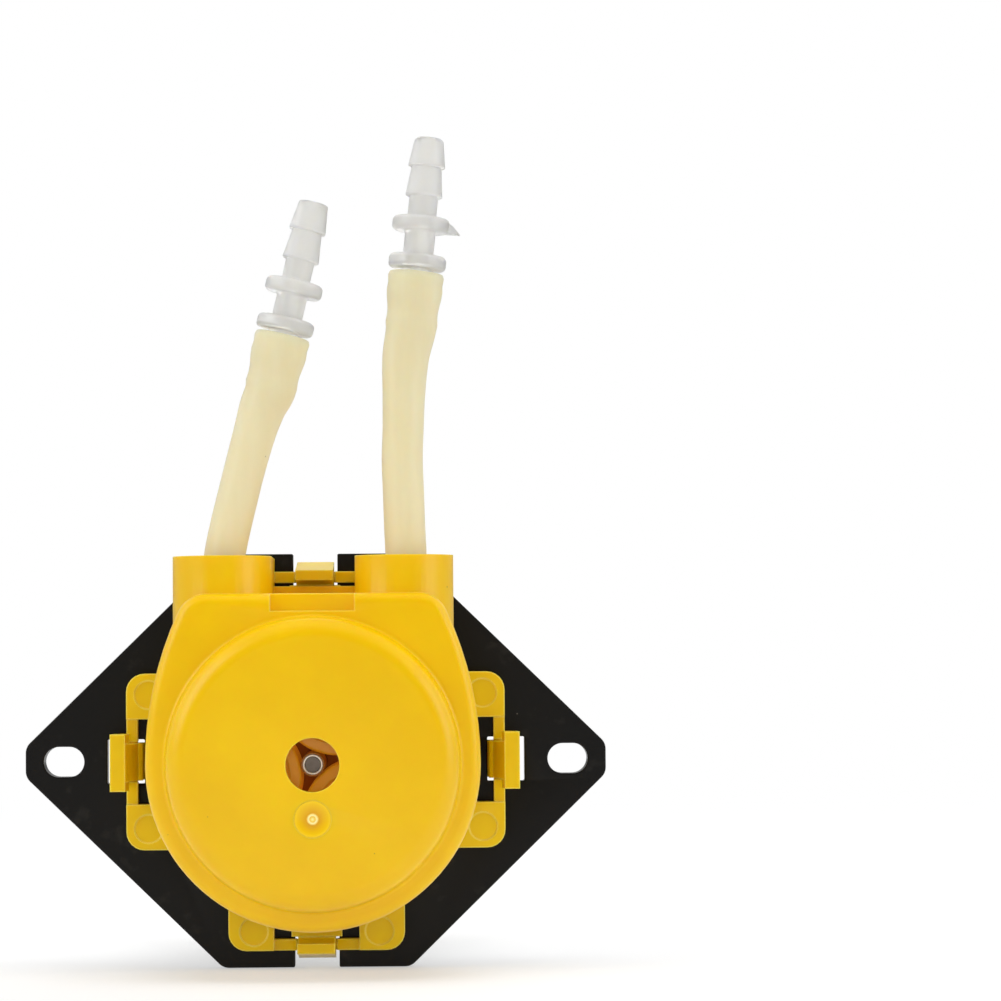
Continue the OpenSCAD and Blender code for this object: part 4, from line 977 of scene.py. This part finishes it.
@dataclass
class RollerCage(Pump):
    """Carrier, rollers, pins and shaft, seen through the round hole in the dome."""

    roller_r: float = 5.55
    roller_y: tuple[float, float] = (-18.9, -8.3)
    pitch_r: float = 6.75
    first_angle: float = 70.7
    rim: float = 1.15
    recess: float = 0.8
    hub_r: float = 2.0
    bore_r: float = 1.05
    roller_edge: float = 0.3
    shaft_r: float = 1.15
    tip_r: float = 0.97
    face_r: float = 0.74
    tip_y: float = -20.6
    tail_y: float = 40.2
    sleeve_y: tuple[float, float] = (-20.3, -8.4)

    def roller(self, number: int, body: Body) -> None:
        """Turns one roller, with a raised rim round its end and rounded outer edges.

        Args:
            number: From 1 to 3.
            body: The body it turns with.
        """
        angle = math.radians(self.first_angle + 120 * (number - 1))
        front, back = self.roller_y
        r, e, inner = self.roller_r, self.roller_edge, self.roller_r - self.rim
        outline = [(self.bore_r, front), (self.hub_r, front), (self.hub_r + 0.1, front + self.recess),
                   (inner - 0.12, front + self.recess), (inner, front + 0.1), (inner + 0.1, front)]
        outline += arc(r - e, front + e, e, -90, 0, 5) + arc(r - e, back - e, e, 0, 90, 5)
        outline += [(inner, back), (inner, back - self.recess), (self.hub_r, back - self.recess),
                    (self.hub_r, back), (self.bore_r, back)]
        node = f"roller_{number}"
        place = along_y(self.pitch_r * math.cos(angle), self.pitch_r * math.sin(angle))
        piece = lathe(node + "_finished", outline, place, 96)
        settle(piece, ROLLER_AMBER, body, "amber_roller", node)

    def shaft(self) -> None:
        """Turns the shaft, its parted end, its lip in a painted highlight, and the sleeve it drives by."""
        y, r = self.tip_y, self.tip_r
        neck = self.sleeve_y[1]
        chamfer = 0.35
        outline = [(0.0, y + 0.1), (self.face_r - 0.04, y + 0.1), (self.face_r, y + 0.18),
                   (self.face_r + 0.03, y + 0.1)]
        outline += arc(0.87, y + 0.1, 0.1, 190, 350, 8)
        outline += [(r, y + 0.2), (r, neck), (self.shaft_r, neck), (self.shaft_r, self.tail_y - chamfer),
                    (self.shaft_r - chamfer, self.tail_y), (0.0, self.tail_y)]
        piece = lathe("motor_shaft_finished", outline, along_y(), 72)
        settle(piece, GROUND_STEEL, Body.ARMATURE, "ground_steel", "motor_shaft")
        # The parted face gets the brownish finish and the rim round it the near-white painted highlight
        for finish in (PARTED_STEEL, LIP_HIGHLIGHT_STEEL):
            piece.data.materials.append(material_of(finish))
        for face in piece.data.polygons:
            middle = face.center
            reach = math.hypot(middle.x, middle.z) / MM
            if middle.y < (y + 0.3) * MM:
                face.material_index = 1 if reach < self.face_r else 2
        front, back = self.sleeve_y
        e = 0.06
        outline = [(r + 0.01, front), (self.shaft_r - e, front), (self.shaft_r, front + e),
                   (self.shaft_r, back - e), (self.shaft_r - e, back), (r + 0.01, back)]
        sleeve = lathe("drive_sleeve", outline, along_y())
        settle(sleeve, CARRIER_AMBER, Body.ARMATURE, "amber_roller")

    def build(self) -> None:
        """Makes the rollers and the shaft and dresses the carrier."""
        for node in ("roller_carrier", "carrier_ring"):
            self.dress(node, CARRIER_AMBER)
        for number, body in enumerate((Body.ROLLER_ONE, Body.ROLLER_TWO, Body.ROLLER_THREE), 1):
            self.roller(number, body)
        self.dress("roller_pins", GROUND_STEEL)
        self.shaft()


@dataclass
class CanMotor(Pump):
    """Can motor: steel can, end cap, terminals, magnets, brushes and armature."""

    can_r: float = 13.85
    label_y: tuple[float, float] = (4.25, 24.5)
    label_angles: tuple[float, float] = (36.0, 146.0)
    label_corner: float = 1.0
    label_lift: float = 0.03

    def build(self) -> None:
        """Makes and dresses the motor's pieces."""
        self.softened("motor_can", CAN_STEEL, Body.PUMP, "zinc_plated_can", 0.08)
        self.softened("motor_end_cap", NATURAL_CAP, Body.PUMP, "nylon_cap", 0.15)
        for node in ("terminal_top", "terminal_bottom"):
            self.softened(node, ROLLED_BRASS, Body.PUMP, "brass", 0.06)
        self.label()
        for node, finish in (("brush_arm_top", ROLLED_BRASS), ("brush_arm_bottom", ROLLED_BRASS),
                             ("brush_top", PRESSED_CARBON), ("brush_bottom", PRESSED_CARBON),
                             ("magnet_left", SINTERED_FERRITE), ("magnet_right", SINTERED_FERRITE),
                             ("armature_core", LAMINATIONS), ("commutator", BARE_COPPER),
                             ("front_bearing", SINTERED_BRONZE), ("rear_bearing", SINTERED_BRONZE),
                             ("thrust_washers", WASHER_FIBRE)):
            self.dress(node, finish)

    def label(self) -> None:
        """Wraps the blank label round the can."""
        low, high = self.label_y
        a0, a1 = self.label_angles
        radius = self.can_r + self.label_lift
        columns, corner = 60, self.label_corner
        corner_angle = math.degrees(corner / radius)
        points: list[Point] = []
        for i in range(columns + 1):
            a = a0 + (a1 - a0) * i / columns
            reach = min(a - a0, a1 - a) / corner_angle
            drop = corner * (1 - math.sqrt(max(0.0, 1 - (1 - min(reach, 1.0)) ** 2)))
            for y in (low + drop, high - drop):
                for r in (radius, self.can_r - 0.02):
                    points.append((r * math.sin(math.radians(a)), y, r * math.cos(math.radians(a))))
        faces = []
        for i in range(columns):
            a, b = i * 4, i * 4 + 4
            faces += [(a, a + 2, b + 2, b), (a + 1, b + 1, b + 3, a + 3), (a, b, b + 1, a + 1),
                      (a + 2, a + 3, b + 3, b + 2)]
        last = columns * 4
        faces += [(0, 1, 3, 2), (last, last + 2, last + 3, last + 1)]
        piece = mesh_object("blank_label", points, faces, 40.0)
        settle(piece, LABEL_FILM, Body.PUMP, "zinc_plated_can")


@dataclass
class Windings(Pump):
    """Copper coils of the armature: each turn of wire is a rounded loop round a pole's stem."""

    poles: int = 5
    wire_mm: float = 0.36
    inner_r: float = 4.75
    outer_r: float = 9.2
    stem_half_w: float = 1.35
    half_length: float = 7.8
    middle_y: float = 16.25
    layers: int = 10
    pole_clearance_mm: float = 0.35
    end_bulge: float = 0.75
    loop_corner: float = 0.55

    def sizes(self) -> dict[str, float | int]:
        """Named inputs of the tree, lengths in metres."""
        turns = int((self.outer_r - self.inner_r) / self.wire_mm) + 1
        return {"Wire Diameter": self.wire_mm * MM, "Inner Radius": self.inner_r * MM,
                "Stem Half Width": self.stem_half_w * MM, "Half Length": self.half_length * MM,
                "Middle": self.middle_y * MM, "Poles": self.poles, "Turns": turns, "Layers": self.layers}

    def tree(self, finish: Material) -> Tree:
        """Builds the Geometry Nodes tree that winds the coils.

        Args:
            finish: The wire's material.

        Returns:
            The tree, with named inputs for its sizes.
        """
        tree = bpy.data.node_groups.new("armature_windings", "GeometryNodeTree")
        face = tree.interface
        face.new_socket("Geometry", in_out="OUTPUT", socket_type="NodeSocketGeometry")
        for name, value in self.sizes().items():
            kind = "NodeSocketInt" if isinstance(value, int) else "NodeSocketFloat"
            face.new_socket(name, in_out="INPUT", socket_type=kind)
        given = put(tree, "NodeGroupInput").outputs

        turns, wire = given["Turns"], given["Wire Diameter"]
        total = put(tree, MATH, {0: turns, 1: given["Layers"]}, operation="MULTIPLY")
        line = put(tree, LINE, {"Count": total, "Offset": (0, 0, 0)})
        index = put(tree, INDEX)
        turn = put(tree, MATH, {0: index, 1: turns}, operation="MODULO")
        share = put(tree, MATH, {0: index, 1: turns}, operation="DIVIDE")
        layer = put(tree, MATH, {0: share}, operation="FLOOR")
        height = put(tree, MATH, {0: turn, 1: wire, 2: given["Inner Radius"]}, operation="MULTIPLY_ADD")
        middle = put(tree, MATH, {0: layer, 1: 0.5}, operation="ADD")
        grown = put(tree, MATH, {0: middle, 1: wire}, operation="MULTIPLY")
        half_w = put(tree, MATH, {0: given["Stem Half Width"], 1: grown}, operation="ADD")
        room = put(tree, MATH,
                   {0: height, 1: math.tan(math.pi / self.poles), 2: -self.pole_clearance_mm * MM},
                   operation="MULTIPLY_ADD")
        fits = put(tree, MATH, {0: half_w, 1: room}, operation="LESS_THAN")
        top = put(tree, MATH,
                  {0: grown, 1: self.end_bulge, 2: given["Half Length"]}, operation="MULTIPLY_ADD")
        spot = put(tree, COMBINE, {"Y": given["Middle"], "Z": height})
        seats = put(tree, "GeometryNodeSetPosition", {"Geometry": line, "Position": spot})
        loop = put(tree, "GeometryNodeCurvePrimitiveQuadrilateral", {0: 2.0, 1: 2.0})
        rounded = put(tree, "GeometryNodeFilletCurve",
                      {"Curve": loop, "Radius": self.loop_corner, "Count": 4}, mode="POLY")
        size = put(tree, COMBINE, {"X": half_w, "Y": top, "Z": 1.0})
        loops = put(tree, INSTANCES,
                    {"Points": seats, "Selection": fits, "Instance": rounded, "Scale": size})
        wires = put(tree, REALIZE, {"Geometry": loops})
        thin = put(tree, MATH, {0: wire, 1: 0.5}, operation="MULTIPLY")
        profile = put(tree, "GeometryNodeCurvePrimitiveCircle", {"Resolution": 6, "Radius": thin})
        coil = put(tree, "GeometryNodeCurveToMesh", {"Curve": wires, "Profile Curve": profile})
        hub = put(tree, LINE, {"Count": given["Poles"], "Offset": (0, 0, 0)})
        step = put(tree, MATH, {0: math.tau, 1: given["Poles"]}, operation="DIVIDE")
        pole = put(tree, INDEX)
        pole_turn = put(tree, MATH, {0: pole, 1: step}, operation="MULTIPLY")
        about = put(tree, COMBINE, {"Y": pole_turn})
        round_hub = put(tree, INSTANCES, {"Points": hub, "Instance": coil, "Rotation": about})
        real = put(tree, REALIZE, {"Geometry": round_hub})
        smooth = put(tree, "GeometryNodeSetShadeSmooth", {"Geometry": real})
        dressed = put(tree, "GeometryNodeSetMaterial", {"Geometry": smooth, "Material": finish})
        put(tree, "NodeGroupOutput", {0: dressed})
        return tree

    def build(self) -> None:
        """Winds the coils and turns them into one plain mesh."""
        host = linked("windings_finished", bpy.data.meshes.new("windings_finished"))
        winder = host.modifiers.new("winder", "NODES")
        winder.node_group = self.tree(material_of(MAGNET_WIRE))
        sizes = self.sizes()
        for item in winder.node_group.interface.items_tree:
            if item.name in sizes:
                winder[item.identifier] = sizes[item.name]
        self.apply(host)
        settle(host, MAGNET_WIRE, Body.ARMATURE, "copper_wire", "windings")


@dataclass
class Studio:
    """Camera, floor, backdrop and lamps."""

    camera_mm: Point = (7.6, -403.0, 9.6)
    aim_mm: Point = (18.5, -3.0, 25.7)
    roll: float = -0.42
    lens: float = 144.4
    floor_z: float = -20.6
    floor_half: float = 6000.0
    panels: tuple[tuple[str, float, float, float, float], ...] = (
        ("Y", -0.85, -0.15, 0.08, 1.0), ("Z", 0.7, 0.97, 1.0, 0.3), ("Z", 0.02, 0.3, 0.25, 1.0))

    def camera(self) -> None:
        """Puts the camera where the photograph was taken from."""
        data = bpy.data.cameras.new("camera")
        data.lens = self.lens
        data.sensor_width = 36.0
        data.clip_start = 0.01
        data.clip_end = 20.0
        camera = linked("camera", data)
        place, aim = Vector(self.camera_mm) * MM, Vector(self.aim_mm) * MM
        facing = (aim - place).to_track_quat("-Z", "Y")
        turn = facing @ Quaternion((0, 0, 1), math.radians(self.roll))
        camera.location = place
        camera.rotation_mode = "QUATERNION"
        camera.rotation_quaternion = turn
        bpy.context.scene.camera = camera

    def lamp(self, name: str, place: Point, size: float, watts: float, shines: bool = True) -> None:
        """Adds a soft lamp that faces the pump.

        Args:
            name: The lamp's name.
            place: Where it stands, in metres.
            size: Width of its square face, in metres.
            watts: Its power.
            shines: Whether gloss shows it.
        """
        data = bpy.data.lights.new(name, "AREA")
        data.size = size
        data.energy = watts
        lamp = linked(name, data)
        lamp.location = place
        lamp.visible_glossy = shines
        lamp.rotation_mode = "QUATERNION"
        lamp.rotation_quaternion = (Vector((0, 0, 0.01)) - Vector(place)).to_track_quat("-Z", "Y")

    def lights(self) -> None:
        """Adds the lamps and the even light of a white studio."""
        self.lamp("front", (0.0, -1.1, 0.07), 0.4, 3.0, shines=False)
        self.lamp("key", (-0.85, -0.5, 0.5), 0.7, 3.9)
        self.lamp("fill", (0.9, -0.45, 0.3), 0.7, 3.0)
        self.lamp("top", (0.05, -0.12, 0.94), 0.7, 4.8, shines=False)
        self.lamp("back", (0.3, 0.85, 0.45), 0.6, 3.0, shines=False)
        world = bpy.data.worlds.new("studio")
        bpy.context.scene.world = world
        world.use_nodes = True
        tree = world.node_tree
        tree.nodes.clear()
        rays = put(tree, RAYS).outputs
        bright = put(tree, MATH, {0: rays["Is Glossy Ray"], 1: rays["Is Transmission Ray"]},
                     operation="MAXIMUM")
        level = put(tree, RANGE, {"Value": bright, "To Min": 0.5, "To Max": 1.0})
        way = put(tree, "ShaderNodeSeparateXYZ", {0: put(tree, COORDINATES).outputs["Generated"]})
        front, over, low = (
            put(tree, RANGE, {"Value": way.outputs[axis], "From Min": start, "From Max": end,
                                             "To Min": first, "To Max": last},
                interpolation_type="SMOOTHSTEP")
            for axis, start, end, first, last in self.panels)
        panels = put(tree, MATH, {0: over, 1: low}, operation="MULTIPLY")
        seen = put(tree, MIX, {0: rays["Is Glossy Ray"], 2: 1.0, 3: panels})
        around = put(tree, MATH, {0: front, 1: seen}, operation="MULTIPLY")
        lit = put(tree, MATH, {0: level, 1: around}, operation="MULTIPLY")
        strength = put(tree, MATH, {0: lit, 1: rays["Is Camera Ray"]}, operation="MAXIMUM")
        sky = put(tree, "ShaderNodeBackground", {"Color": (1, 1, 1, 1), "Strength": strength})
        put(tree, "ShaderNodeOutputWorld", {0: sky})

    def floor(self) -> None:
        """Lays a pale floor that fades into the white background away from the pump."""
        half, z = self.floor_half, self.floor_z
        floor = mesh_object(
            "floor", [(-half, -half, z), (half, -half, z), (half, half, z), (-half, half, z)], [(0, 1, 2,
            3)])
        material, tree = blank_material("pale_floor")
        place = put(tree, COORDINATES).outputs["Object"]
        distance = put(tree, VECTOR_MATH, {0: place}, operation="LENGTH")
        far = put(tree, RANGE,
                  {"Value": distance.outputs["Value"], "From Min": 0.10, "From Max": 0.45},
                  interpolation_type="SMOOTHSTEP")
        rays = put(tree, RAYS).outputs
        clear = put(tree, MATH, {0: rays["Is Glossy Ray"], 1: rays["Is Transmission Ray"]},
                    operation="MAXIMUM")
        looked_at = put(tree, MATH, {0: rays["Is Camera Ray"], 1: clear}, operation="MAXIMUM")
        glow = put(tree, RANGE, {"Value": far, "To Min": 0.45, "To Max": 1.0})
        share = put(tree, MATH, {0: looked_at, 1: glow}, operation="MULTIPLY")
        calm = put(tree, MIX, {0: far, 6: "#efefed", 7: "#8c8c8c"}, data_type="RGBA")
        colour = put(tree, MIX, {0: looked_at, 6: calm.outputs[2], 7: "#fafafa"}, data_type="RGBA")
        paint = put(tree, PRINCIPLED,
                    {"Base Color": colour.outputs[2], "Roughness": 0.7, "Specular IOR Level": 0.2})
        white = put(tree, "ShaderNodeEmission", {"Color": (1, 1, 1, 1), "Strength": 1.0})
        blend = put(tree, "ShaderNodeMixShader", {0: share, 1: paint, 2: white})
        put(tree, OUTPUT, {"Surface": blend})
        floor.data.materials.append(material)

    def build(self) -> None:
        """Sets up the whole studio."""
        self.camera()
        self.lights()
        self.floor()
        bpy.context.scene.view_settings.view_transform = "Standard"


def main() -> None:
    """Builds the dressed pump from its sub-assemblies."""
    logging.basicConfig(level=logging.INFO, format="%(message)s")
    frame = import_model()
    Pump.nodes = frame["nodes"]
    Studio().build()
    tube = PumpTube()
    tube.build()
    HoseFitting("left_fitting", tube.left_collar, tube.left_lean).build()
    HoseFitting("right_fitting", tube.right_collar, tube.right_lean, tip_radius=0.5, flash=1.1).build()
    for assembly in (PanelBracket(), HeadShell(), RollerCage(), CanMotor(), Windings()):
        assembly.build()


if __name__ == "__main__":
    main()
